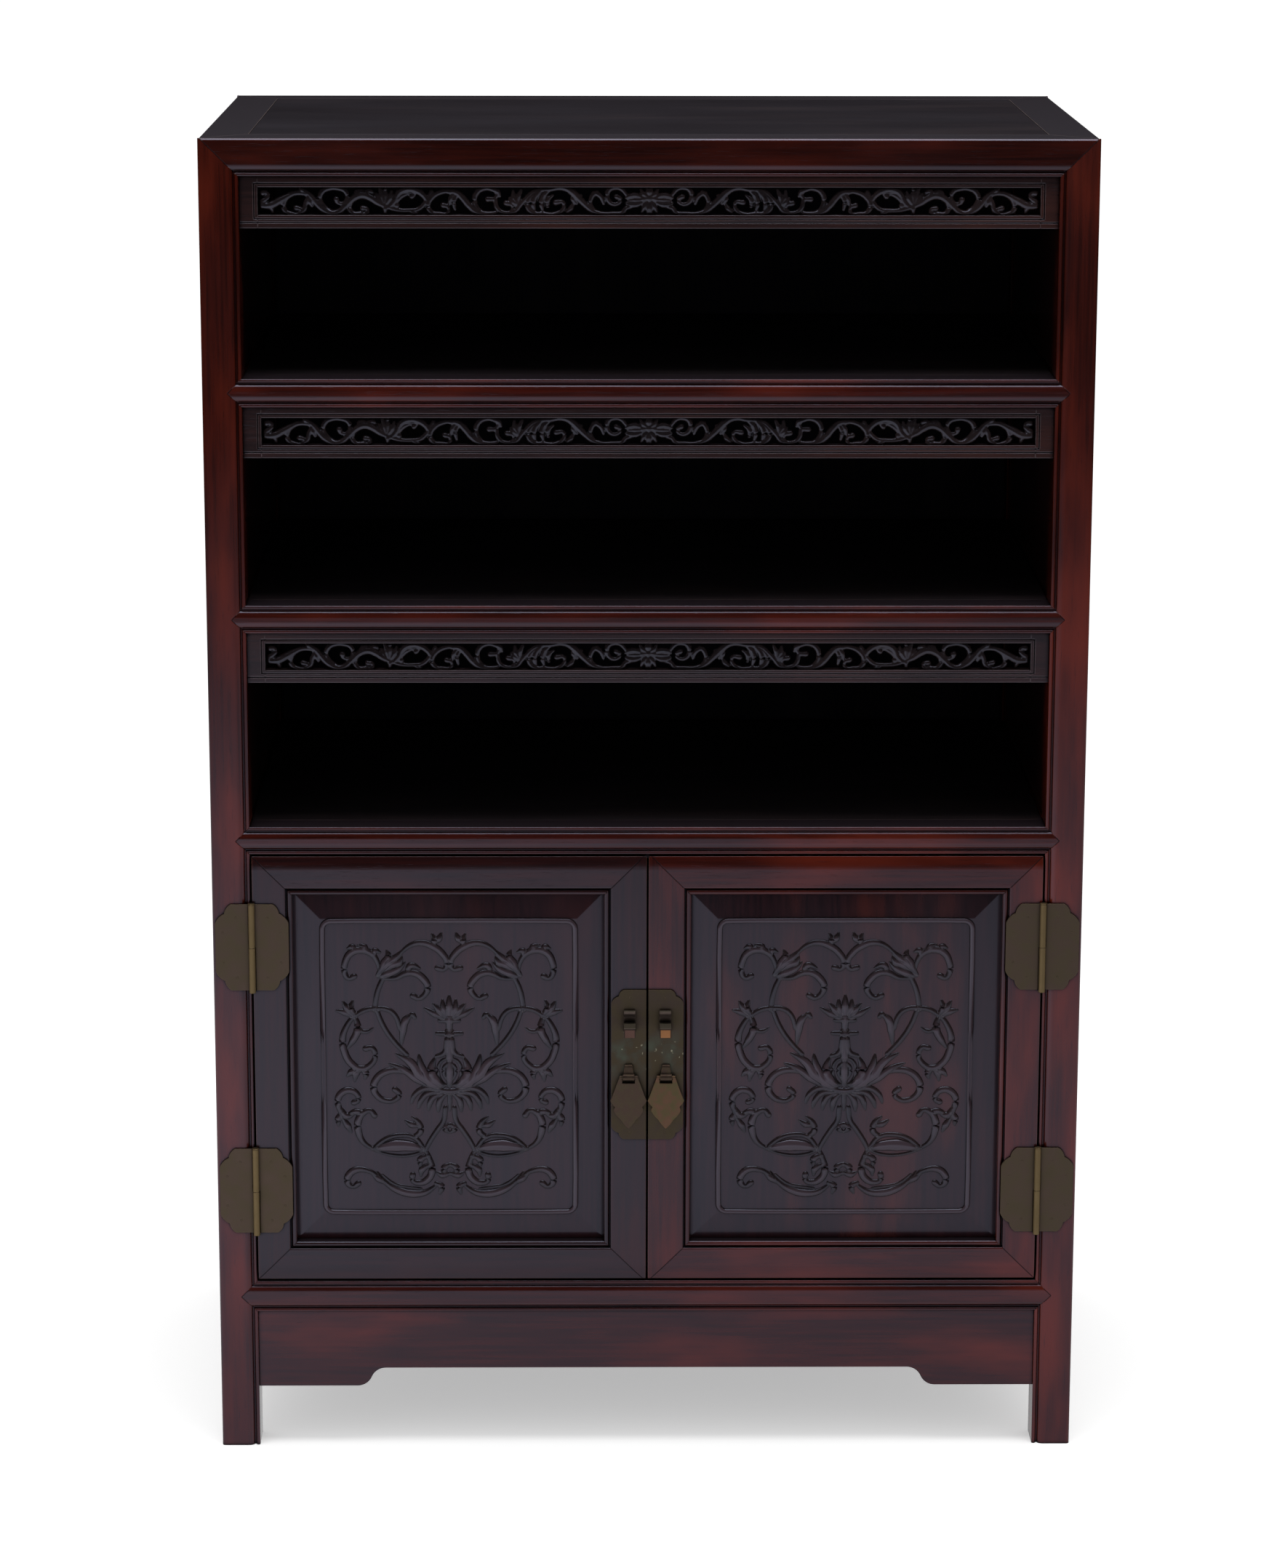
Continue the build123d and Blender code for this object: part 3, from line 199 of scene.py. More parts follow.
def rosewood(name, grain, dark, body, red, roughness=(0.16, 0.25), flush=(0.44, 0.86), wear_and_highlight="#6A4438",
             wear_and_highlight_share=0.6, polish=0.64, hollow_shade_share=1.0, lower=0.0, faded=None, crest_wear_and_highlight=None):
    """Rosewood with its grain along the axis given: 0, 1 or 2 for X, Y or Z. roughness is that of the polish
    at its brightest and its dullest, and flush the noise at which the redder patches begin and are full. The
    edge tone is what the edges are drawn in, and its share how much of it they get: lighter wood where the
    polish is gone, and on the top frame, the friezes and the carving also a painted highlight. polish is how
    strongly the face mirrors. The hollow share is how strongly the hollows are darkened, as painted shade and
    dirty old polish. lower is how much the patches grow from the top tier down to the doors. The upward tone,
    if one is given, is that of the faces turned upwards: dry, greyed wood on the top frame, and painted shade
    on the ledges. The tops of a carving, if their y in m is given with a tone, take that lighter tone:
    handling, and a painted highlight."""
    material, tree = new_material(name)
    place = add(tree, "TexCoord", {}, {})["Object"]

    def figure(width, stretch, detail):
        scale = [1.0 / (width * MM)] * 3
        scale[grain] /= stretch
        mapped = add(tree, "Mapping", {}, {"Vector": place, "Scale": scale})[0]
        return add(tree, "TexNoise", {}, {"Vector": mapped, "Scale": 1.0, "Detail": detail,
                                          "Roughness": FIGURE_ROUGHNESS})[0]

    streak = figure(STREAK_WIDTH, STREAK_STRETCH, detail=4.0)
    pore = figure(PORE_WIDTH, PORE_STRETCH, detail=2.0)
    cloud = figure(CLOUD_SIZE, CLOUD_STRETCH, detail=2.0)
    waves = figure(WAVE_WIDTH, WAVE_STRETCH, detail=1.0)
    across = add(tree, "SeparateXYZ", {}, {0: place})[0]
    shift = add(tree, "MapRange", {}, {"Value": across} | span(-HALF_WIDTH, HALF_WIDTH)
                                      | given(-SIDE_SHIFT, SIDE_SHIFT))[0]
    patch = add(tree, "Math", {}, {0: figure(FLUSH_WIDTH, FLUSH_STRETCH, detail=3.0), 1: shift})[0]
    if lower:
        height = add(tree, "SeparateXYZ", {}, {0: place})[2]
        sunk = add(tree, "MapRange", SMOOTH, {"Value": height} | span(TOP_TIER, DOOR_HEAD)
                                             | given(0.0, lower))[0]
        patch = add(tree, "Math", {}, {0: patch, 1: sunk})[0]

    bands = add(tree, "MapRange", SMOOTH, {"Value": streak} | span(*BAND_CUT))[0]
    patches = add(tree, "MapRange", SMOOTH, {"Value": patch} | span(*flush))[0]
    pores = add(tree, "MapRange", SMOOTH, {"Value": pore} | span(*PORE_CUT))[0]
    base = add(tree, "Mix", COLOUR, {0: bands, 6: linear(dark), 7: linear(body)})[2]
    base = add(tree, "Mix", COLOUR, {0: patches, 6: base, 7: linear(red)})[2]
    faint = add(tree, "Math", TIMES, {0: pores, 1: PORE_SHARE})[0]
    base = add(tree, "Mix", COLOUR, {0: faint, 6: base, 7: linear(dark)})[2]
    # faces turned upwards take the given tone: faded wood on the top frame, painted shade on the ledges
    if faded:
        up = facing_up(tree)
        base = add(tree, "Mix", COLOUR, {0: up, 6: base, 7: linear(faded)})[2]
    soft, edge, hollow, mitre = edge_masks(tree, ARRIS)
    # edges take the edge tone: worn polish, and on the top frame, the friezes and the carving also a painted
    # highlight
    edge_wear_and_painted_light = add(tree, "Math", TIMES, {0: edge, 1: wear_and_highlight_share})[0]
    uneven = add(tree, "MapRange", {}, {"Value": bands} | given(LEAST_EDGE_TONE, 1.0))[0]
    edge_wear_and_painted_light = add(tree, "Math", TIMES, {0: edge_wear_and_painted_light, 1: uneven})[0]
    base = add(tree, "Mix", COLOUR, {0: edge_wear_and_painted_light, 6: base, 7: linear(wear_and_highlight)})[2]
    # painted highlight, with wear: the tops of a carving are drawn lighter
    if crest_wear_and_highlight:
        depth = add(tree, "SeparateXYZ", {}, {0: place})[1]
        top = add(tree, "MapRange", SMOOTH, {"Value": depth} | span(crest_wear_and_highlight[0] + CREST_BAND * MM, crest_wear_and_highlight[0]))[0]
        base = add(tree, "Mix", COLOUR, {0: top, 6: base, 7: linear(crest_wear_and_highlight[1])})[2]
    # painted shade: hollows darken towards the wax tone by ambient occlusion, partly real old wax; the
    # mitres' dark wax is real; both dull the polish
    wax_and_shade = add(tree, "Math", TIMES, {0: hollow, 1: hollow_shade_share})[0]
    wax_and_shade = add(tree, "Math", LARGER, {0: mitre, 1: wax_and_shade})[0]
    base = add(tree, "Mix", COLOUR, {0: wax_and_shade, 6: base, 7: linear(JOINT_WAX_AND_SHADE)})[2]
    shine = add(tree, "MapRange", {}, {"Value": wax_and_shade} | given(polish, WAX_AND_SHADE_SHINE * polish))[0]

    dull = add(tree, "MapRange", {}, {"Value": cloud} | span(*CLOUD_CUT) | given(*roughness))[0]
    if faded:
        dull = add(tree, "Mix", {}, {0: up, 2: dull, 3: FADED_ROUGHNESS})[0]
    grainy = add(tree, "Bump", {"invert": True}, {"Strength": PORE_BUMP, "Distance": PORE_DEPTH * MM,
                                                  "Height": pores, "Normal": soft})[0]
    wavy = add(tree, "Bump", {}, {"Strength": 1.0, "Distance": WAVE_DEPTH * MM, "Height": waves,
                                  "Normal": grainy})[0]
    shader = add(tree, "BsdfPrincipled", {}, {
        "Base Color": base, "Roughness": dull, "IOR": WOOD_IOR, "Specular IOR Level": shine,
        "Specular Tint": linear(SHEEN), "Normal": wavy})[0]
    add(tree, "OutputMaterial", {}, {"Surface": shader})
    return material


FRAME_TONES = dict(dark="#240803", body="#390E05", red="#5E1D0A")
LEFT_DOOR_TONES = dict(dark="#1A0B0B", body="#280E0C", red="#42170F")
# painted shade: the top frame's tones are darker than the other frames', as the lamp lights it more
TOP_FRAME_SHADED_TONES = dict(dark="#1C0603", body="#2C0A03", red="#461406")
PANEL_TONES = dict(dark="#1C0D0E", body="#291211", red="#381612")
FIELD_TONES = dict(dark="#1B0E11", body="#281316", red="#351716")
RIGHT_FIELD_TONES = FIELD_TONES | dict(red="#441C16")
FRIEZE_TONES = dict(dark="#1E1312", body="#2B1917", red="#3A1F19")
CARVED_TONES = dict(dark="#161112", body="#211A1B", red="#2A1F1E")
TOP_TONES = dict(dark="#191517", body="#211C1F", red="#282122")
# painted shade: the inside's tones are drawn almost black for the dim inside
INNER_SHADED_TONES = dict(dark="#1A1415", body="#262020", red="#2E2322")
BACK_SHADED_TONES = dict(dark="#100C0D", body="#191415", red="#211816")
TOP_FADED = "#221C1E"
# painted shade on the faces turned upwards of rails, aprons and door rails
LEDGE_SHADE = "#1E1518"
# the top frame's arrises: worn polish, and a painted highlight
TOP_WEAR_AND_HIGHLIGHT = "#9A8880"
# the edges of the carving and the friezes: worn polish, and a painted highlight
CARVED_WEAR_AND_HIGHLIGHT = "#6A6064"
# m: the y of the tops of the doors' carving, 0.5 mm before the raised line that is part of the panels
RELIEF_TOP = (corners_of("left_door_panel")[0][1] - 0.5) * MM

# Posts, rails and stiles: solid timber under a high polish, deep red with a violet-grey gloss; on the ledges
# duller, where dust settles, and darker, as painted shade
post_upright = rosewood("waxed_rosewood_post", 2, **FRAME_TONES, lower=0.11)
frame_upright = rosewood("waxed_rosewood_upright", 2, **FRAME_TONES)
frame_across = rosewood("waxed_rosewood_across", 0, **FRAME_TONES, faded=LEDGE_SHADE)
frame_deep = rosewood("waxed_rosewood_front_to_back", 1, **FRAME_TONES)
# The top frame: the same polish on its faces, in tones drawn darker than the other frames' as painted shade,
# as the lamp lights it more; dry, grey and dull above, with pale arrises that are worn and carry a painted
# highlight
top_across = rosewood("waxed_rosewood_top_across", 0, **TOP_FRAME_SHADED_TONES, wear_and_highlight=TOP_WEAR_AND_HIGHLIGHT, faded=TOP_FADED)
top_deep = rosewood("waxed_rosewood_top_front_to_back", 1, **TOP_FRAME_SHADED_TONES, wear_and_highlight=TOP_WEAR_AND_HIGHLIGHT, faded=TOP_FADED)
# Wide boards, and the darker left door: stained deeper, nearly black with a violet gloss
panel_upright = rosewood("waxed_rosewood_board_upright", 2, **PANEL_TONES)
left_upright = rosewood("darker_waxed_rosewood_upright", 2, **LEFT_DOOR_TONES)
left_across = rosewood("darker_waxed_rosewood_across", 0, **LEFT_DOOR_TONES, faded=LEDGE_SHADE)
# Carved wood: the ground next to the stems is darkened as painted shade, partly old wax, and redder in soft
# patches on the right door. The tops of the stems and their edges are drawn greyer and lighter: wear, and a
# painted highlight.
field_upright = {
    "left": rosewood("carved_rosewood_field_left", 2, **FIELD_TONES, wear_and_highlight=CARVED_WEAR_AND_HIGHLIGHT, hollow_shade_share=0.4),
    "right": rosewood("carved_rosewood_field_right", 2, **RIGHT_FIELD_TONES, wear_and_highlight=CARVED_WEAR_AND_HIGHLIGHT, hollow_shade_share=0.4,
                      flush=(0.48, 0.80)),
}
relief_upright = rosewood("carved_rosewood_relief", 2, **CARVED_TONES, wear_and_highlight=CARVED_WEAR_AND_HIGHLIGHT, wear_and_highlight_share=0.8,
                          hollow_shade_share=0.2, crest_wear_and_highlight=(RELIEF_TOP, "#3B3036"))
frieze_across = rosewood("waxed_rosewood_frieze", 0, **FRIEZE_TONES, wear_and_highlight=CARVED_WEAR_AND_HIGHLIGHT, wear_and_highlight_share=0.8)
carved_across = rosewood("carved_rosewood_across", 0, **CARVED_TONES, wear_and_highlight=CARVED_WEAR_AND_HIGHLIGHT, wear_and_highlight_share=1.0)
# Boards that see little polish: the top is dry and grey, and the inside is matt and drawn almost black, as
# painted shade of the dim inside
top_board = rosewood("dry_rosewood_top", 0, **TOP_TONES, roughness=(0.34, 0.44), polish=0.45, wear_and_highlight_share=0.0)
inner_across = rosewood("shaded_inner_wood_across", 0, **INNER_SHADED_TONES, roughness=(0.36, 0.48), polish=0.6)
inner_upright = rosewood("shaded_inner_wood_upright", 2, **BACK_SHADED_TONES, roughness=(0.42, 0.55), polish=0.3)


# Patinated brass: sheet or cast brass that was filed and polished once. To the eye it has gone a dull
# olive-brown, greener where damp has sat, brighter where hands rub it, and darker in its hollows, as painted
# shade with some grime.

MOTTLE = 16.0      # mm, the blotches of the patina on a plate
FINE_MOTTLE = 7.0  # mm, those on a small cast piece
GRIT = 1.3         # mm, the pits, drawn coarser than the real ones so that they show
SPECK_SIZE = 4.0625   # mm, from one pale speck to the next
VERDIGRIS = "#464A3E"
SPECK = "#97937F"
# the hollows' tone: painted shade, with some grime
GRIME_AND_SHADE = "#16100D"

# m: the y past which brass takes the brighter proud tone, a painted highlight on the hinges' knuckles, 0.6 mm
# before the plates' faces; how far the middle of a lug is from the middle of the cabinet; half the width of
# the rubbed place on a lug's end
FACE_PLANE = (corners_of("left_lock_plate")[0][1] - 0.6) * MM
LUG_MIDDLE = middle_of("right_lock_lug")[0] * MM
LUG_RUBBED = 0.0048
RUBBED_PAST, RUBBED_IN = 0.0006, 0.0002   # m past and inside the rubbed place's border, where its tone fades
BRASS_EDGE_SHARE = 0.5          # share of the edge tone that the edges get: handled brass, and on the pulls a painted shadow
BRASS_ARRIS, BRASS_FULL_EDGE = 0.8, 0.80   # mm, and the cosine at which a brass edge takes its full edge tone
BLOTCH_CUT = (0.34, 0.68)      # noise at which the patina goes from brown to olive
# how strongly the hollows are darkened: painted shade, with some grime
GRIME_AND_SHADE_SHARE = 0.5
CLEAN_METAL, GREEN_METAL, DUSTY_METAL = 0.85, 0.5, 0.2   # how metallic the brass still looks
DAMP_REACH = (0.034, 0.006)    # m from the middle of the damp band to its end, and to where it is full
GROWTH_CUT = (0.60, 0.30)      # noise from which verdigris begins to where it is full
SPECK_CUT = (0.725, 0.77)      # noise from which a speck begins to where it is full
BRASS_ROUGHNESS = (0.44, 0.56)
PIT_BUMP, PIT_DEPTH = 0.3, 0.05      # strength, and mm


def patinated_brass(name, brown, olive, edge_tone, blotch=MOTTLE, proud=None, damp=None, tip=None,
                    dust=None):
    """Brass whose patina goes from brown to olive in blotches of a size in mm, with its edges in edge_tone:
    handled brass, and on the pulls a painted shadow. proud is the tone of what stands out before the plates,
    a painted highlight on the hinges' knuckles. damp is the z, in m, about which verdigris has grown. tip is
    the z, in m, below which the middle of a lug is handled bright, and its tone there. dust is the tone of
    what lies on the faces that are turned upwards. The hollows are darkened as painted shade, with some dirt."""
    material, tree = new_material(name)
    place = add(tree, "TexCoord", {}, {})["Object"]
    x, y, z = add(tree, "SeparateXYZ", {}, {0: place})
    mottle = add(tree, "TexNoise", {}, {"Vector": place, "Scale": 1.0 / (blotch * MM), "Detail": 4.0})[0]
    grit = add(tree, "TexNoise", {}, {"Vector": place, "Scale": 1.0 / (GRIT * MM), "Detail": 2.0})[0]
    specks = add(tree, "TexNoise", {}, {"Vector": place, "Scale": 1.0 / (SPECK_SIZE * MM), "Detail": 1.0})[0]
    blotches = add(tree, "MapRange", SMOOTH, {"Value": mottle} | span(*BLOTCH_CUT))[0]
    base = add(tree, "Mix", COLOUR, {0: blotches, 6: linear(brown), 7: linear(olive)})[2]
    soft, edge, hollow, _ = edge_masks(tree, BRASS_ARRIS, full_edge_cosine=BRASS_FULL_EDGE)
    # edges take the edge tone: handled brass, and on the pulls a painted shadow
    edge_wear_and_painted_light = add(tree, "Math", TIMES, {0: edge, 1: BRASS_EDGE_SHARE})[0]
    # painted highlight: what stands out before the plates, the hinges' knuckles, is drawn brighter
    if proud:
        out = add(tree, "Math", {"operation": "LESS_THAN"}, {0: y, 1: FACE_PLANE})[0]
        base = add(tree, "Mix", COLOUR, {0: out, 6: base, 7: linear(proud)})[2]
    if tip:
        below = add(tree, "MapRange", SMOOTH, {"Value": z}
                                              | span(tip[0] + RUBBED_PAST, tip[0] - RUBBED_PAST))[0]
        aside = add(tree, "Math", SIZE, {0: x})[0]
        aside = add(tree, "Math", MINUS, {0: aside, 1: LUG_MIDDLE})[0]
        aside = add(tree, "Math", SIZE, {0: aside})[0]
        inside = add(tree, "MapRange", SMOOTH, {"Value": aside}
                                               | span(LUG_RUBBED + RUBBED_PAST, LUG_RUBBED - RUBBED_IN))[0]
        below = add(tree, "Math", TIMES, {0: below, 1: inside})[0]
        base = add(tree, "Mix", COLOUR, {0: below, 6: base, 7: linear(tip[1])})[2]
    base = add(tree, "Mix", COLOUR, {0: edge_wear_and_painted_light, 6: base, 7: linear(edge_tone)})[2]
    # painted shade: ambient occlusion darkens the hollows, with some grime
    grime_and_shade = add(tree, "Math", TIMES, {0: hollow, 1: GRIME_AND_SHADE_SHARE})[0]
    base = add(tree, "Mix", COLOUR, {0: grime_and_shade, 6: base, 7: linear(GRIME_AND_SHADE)})[2]
    metal = CLEAN_METAL
    if dust:
        up = facing_up(tree)
        base = add(tree, "Mix", COLOUR, {0: up, 6: base, 7: linear(dust)})[2]
        metal = add(tree, "MapRange", {}, {"Value": up} | given(CLEAN_METAL, DUSTY_METAL))[0]
    if damp:
        off = add(tree, "Math", MINUS, {0: z, 1: damp})[0]
        off = add(tree, "Math", SIZE, {0: off})[0]
        near = add(tree, "MapRange", SMOOTH, {"Value": off} | span(*DAMP_REACH))[0]
        growth = add(tree, "MapRange", SMOOTH, {"Value": mottle} | span(*GROWTH_CUT))[0]
        green = add(tree, "Math", TIMES, {0: near, 1: growth})[0]
        base = add(tree, "Mix", COLOUR, {0: green, 6: base, 7: linear(VERDIGRIS)})[2]
        flecks = add(tree, "MapRange", SMOOTH, {"Value": specks} | span(*SPECK_CUT))[0]
        flecks = add(tree, "Math", TIMES, {0: flecks, 1: near})[0]
        base = add(tree, "Mix", COLOUR, {0: flecks, 6: base, 7: linear(SPECK)})[2]
        metal = add(tree, "MapRange", {}, {"Value": green} | given(CLEAN_METAL, GREEN_METAL))[0]
    dull = add(tree, "MapRange", {}, {"Value": mottle} | span(*CLOUD_CUT) | given(*BRASS_ROUGHNESS))[0]
    pits = add(tree, "Bump", {"invert": True}, {"Strength": PIT_BUMP, "Distance": PIT_DEPTH * MM,
                                                "Height": grit, "Normal": soft})[0]
    shader = add(tree, "BsdfPrincipled", {}, {"Base Color": base, "Metallic": metal, "Roughness": dull,
                                              "Normal": pits})[0]
    add(tree, "OutputMaterial", {}, {"Surface": shader})
    return material


# m, z: the top of a lug's square end, which is 8.7 mm high, and the place between lugs and pulls where damp
# has sat, 11 mm above the middle of the plates
LUG_TIP = (corners_of("left_lock_lug")[0][2] + 8.7) * MM
DAMP_BAND = (middle_of("left_lock_plate")[2] + 11.0) * MM
LUG_TONES = dict(brown="#382F2B", olive="#413732", edge_tone="#6A5A50", dust="#463F34")

# Sheet brass of the hinges and plates, flat and even: dull olive-brown, greener between lugs and pulls; the
# hinges' knuckles drawn brighter, as a painted highlight
hinge_brass = patinated_brass("patinated_hinge_brass", "#5A4C43", "#5C5142", "#766650", proud="#7C6A4C")
plate_brass = patinated_brass("patinated_lock_plate_brass", "#4C413A", "#53493A", "#665848", damp=DAMP_BAND)
nail_brass = patinated_brass("patinated_nail_brass", "#574A41", "#5A4F40", "#5A4F40")
# Small cast pieces: browner, darker where no finger reaches, as painted shade with grime, and brighter metal
# where keys and hands rub
staple_brass = patinated_brass("grimed_and_shaded_staple_brass", "#4A3B34", "#54473A", "#8C7562", blotch=FINE_MOTTLE)
lug_brass = {
    "left": patinated_brass("grimed_and_shaded_lug_brass_left", **LUG_TONES, tip=(LUG_TIP, "#6B5049")),
    "right": patinated_brass("grimed_and_shaded_lug_brass_right", **LUG_TONES, tip=(LUG_TIP, "#A87650")),
}
# the pulls' edges are drawn darker than their faces, as a painted shadow along their outline
pull_brass = {
    "left": patinated_brass("handled_pull_brass_left", "#55453D", "#5A4E40", "#2E2520", blotch=FINE_MOTTLE),
    "right": patinated_brass("handled_pull_brass_right", "#6E5343", "#665B42", "#50382A", blotch=FINE_MOTTLE),
}


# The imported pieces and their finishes

def dress(names, material):
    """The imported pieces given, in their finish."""
    for name in names:
        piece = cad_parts[name]
        piece.data.materials.clear()
        piece.data.materials.append(material)


SIDES = ("left", "right")
door_across = {"left": left_across, "right": frame_across}
door_upright = {"left": left_upright, "right": frame_upright}
TIERS = ("upper", "middle", "lower")
dress([f"{end}_{side}_post" for end in ("front", "back") for side in SIDES], post_upright)
dress([f"{tier}_front_rail" for tier in (*TIERS, "bottom")], frame_across)
dress(["bottom_back_rail", "shelf_back_rails", "front_apron", "back_apron", "door_stop"], frame_across)
dress(["shelf_side_rails", "bottom_side_rails", "side_aprons"], frame_deep)
dress(["top_front_rail", "top_back_rail"], top_across)
dress(["top_side_rails"], top_deep)
dress([f"{tier}_frieze_frame" for tier in TIERS], frieze_across)
dress([f"{tier}_frieze_carving" for tier in TIERS], carved_across)
dress(["top_panel"], top_board)
dress([f"{tier}_shelf" for tier in TIERS] + ["cupboard_floor", "panel_battens"], inner_across)
dress(["tier_back_panels", "cupboard_back_panel"], inner_upright)
dress(["tier_side_panels", "cupboard_side_panels"], panel_upright)
for side in SIDES:
    dress([f"{side}_door_top_rail", f"{side}_door_bottom_rail"], door_across[side])
    dress([f"{side}_door_hinge_stile", f"{side}_door_meeting_stile"], door_upright[side])
    dress([f"{side}_door_panel"], field_upright[side])
    dress([f"{side}_hinge_leaves"], hinge_brass)
    dress([f"{side}_lock_plate"], plate_brass)
    dress([f"{side}_lock_lug"], lug_brass[side])
    dress([f"{side}_pull_staple"], staple_brass)
    dress([f"{side}_pull"], pull_brass[side])
    dress([f"{side}_door_nails"], nail_brass)
dress(["hinge_carcass_leaves", "hinge_pins"], hinge_brass)
dress(["hinge_nails"], nail_brass)


# Carving: tapered strokes laid over each other, as a carver leaves them standing

BALL_END = ((0.5, 0.87), (0.85, 0.53), (1.0, 0.1))   # shares of the radius: how far out, and how thick there
ROUND_STEPS, CURVE_STEPS = 2, 5                      # around a quarter of a stroke, and between two points
WELD = 0.02                                          # mm
CORNER_STEPS = 4                                     # of a quarter turn


def rounded_end(before, end):
    """Points past a stroke's end, as (x, z, radius), that close it as a ball."""
    x, z, radius = end
    away = math.hypot(x - before[0], z - before[1])
    towards = ((x - before[0]) / away, (z - before[1]) / away)
    return [(x + towards[0] * radius * out, z + towards[1] * radius * out, radius * share)
            for out, share in BALL_END]


def carve(name, strokes, depth, plane):
    """Rounded strokes as one mesh. A stroke is its points as (x, z) in mm, its radii in mm (spread evenly
    over its points), and whether it closes on itself. depth is the share of its radius that a stroke stands
    out. plane is the y in mm of the strokes' middle."""
    bpy.ops.curve.primitive_bezier_curve_add()
    made = bpy.context.active_object
    made.name = name
    path = made.data
    path.splines.clear()
    path.dimensions, path.fill_mode, path.use_fill_caps = "3D", "FULL", True
    path.bevel_depth, path.bevel_resolution, path.resolution_u = MM, ROUND_STEPS, CURVE_STEPS
    path.twist_mode = "Z_UP"
    for points, radii, closed in strokes:
        last, steps = len(radii) - 1, len(points) - 1
        places = []
        for index, point in enumerate(points):
            share = index / steps * last
            low = min(int(share), max(last - 1, 0))
            high = min(low + 1, last)
            places.append((*point, radii[low] + (radii[high] - radii[low]) * (share - low)))
        if not closed:
            places = rounded_end(places[1], places[0])[::-1] + places + rounded_end(places[-2], places[-1])
        spline = path.splines.new("BEZIER")
        spline.bezier_points.add(len(places) - 1)
        spline.use_cyclic_u = closed
        for point, (x, z, radius) in zip(spline.bezier_points, places):
            point.co = (x * MM, 0.0, z * MM)
            point.radius = radius
            point.handle_left_type = point.handle_right_type = "AUTO"
    bpy.ops.object.convert(target="MESH")
    made = bpy.context.active_object
    made.scale = (1.0, depth, 1.0)
    made.location = (0.0, plane * MM, 0.0)
    bpy.ops.object.transform_apply(location=True, rotation=True, scale=True)
    bpy.ops.object.mode_set(mode="EDIT")
    bpy.ops.mesh.select_all(action="SELECT")
    bpy.ops.mesh.remove_doubles(threshold=WELD * MM)
    bpy.ops.mesh.normals_make_consistent(inside=False)
    bpy.ops.object.mode_set(mode="OBJECT")
    bpy.ops.object.shade_smooth()
    return made


def pick(parts):
    """Only these pieces selected, and the first of them active."""
    bpy.ops.object.select_all(action="DESELECT")
    for part in parts:
        part.select_set(True)
    bpy.context.view_layer.objects.active = parts[0]


def join_as(name, parts):
    """Several pieces as one, with its own name."""
    pick(parts)
    bpy.ops.object.join()
    parts[0].name = parts[0].data.name = name
    return parts[0]


def move_to(made, x, z):
    """Moves a piece to its place over the front, in mm, with its origin left where it was."""
    made.location = (x * MM, 0.0, z * MM)
    pick([made])
    bpy.ops.object.transform_apply(location=True, rotation=True, scale=True)


STEM = (2.8, 3.1, 3.1, 2.8)                 # radii in mm of a plain stem
CURL = (2.0, 3.2, 4.1, 4.3, 3.7, 3.0, 3.6)  # a leafy stem that ends in a round eye
LOBE = (2.8, 4.1, 1.8)                      # a small leaf lobe
BLADE = (1.8, 4.3, 5.1, 3.6, 1.2)           # a long pointed leaf
PETAL = (2.6, 5.6, 6.4, 4.2, 1.4)           # a full petal of the lotus
RIB = (1.7, 2.3, 2.2, 1.3)                  # a thin line inside the lotus or beside a leaf

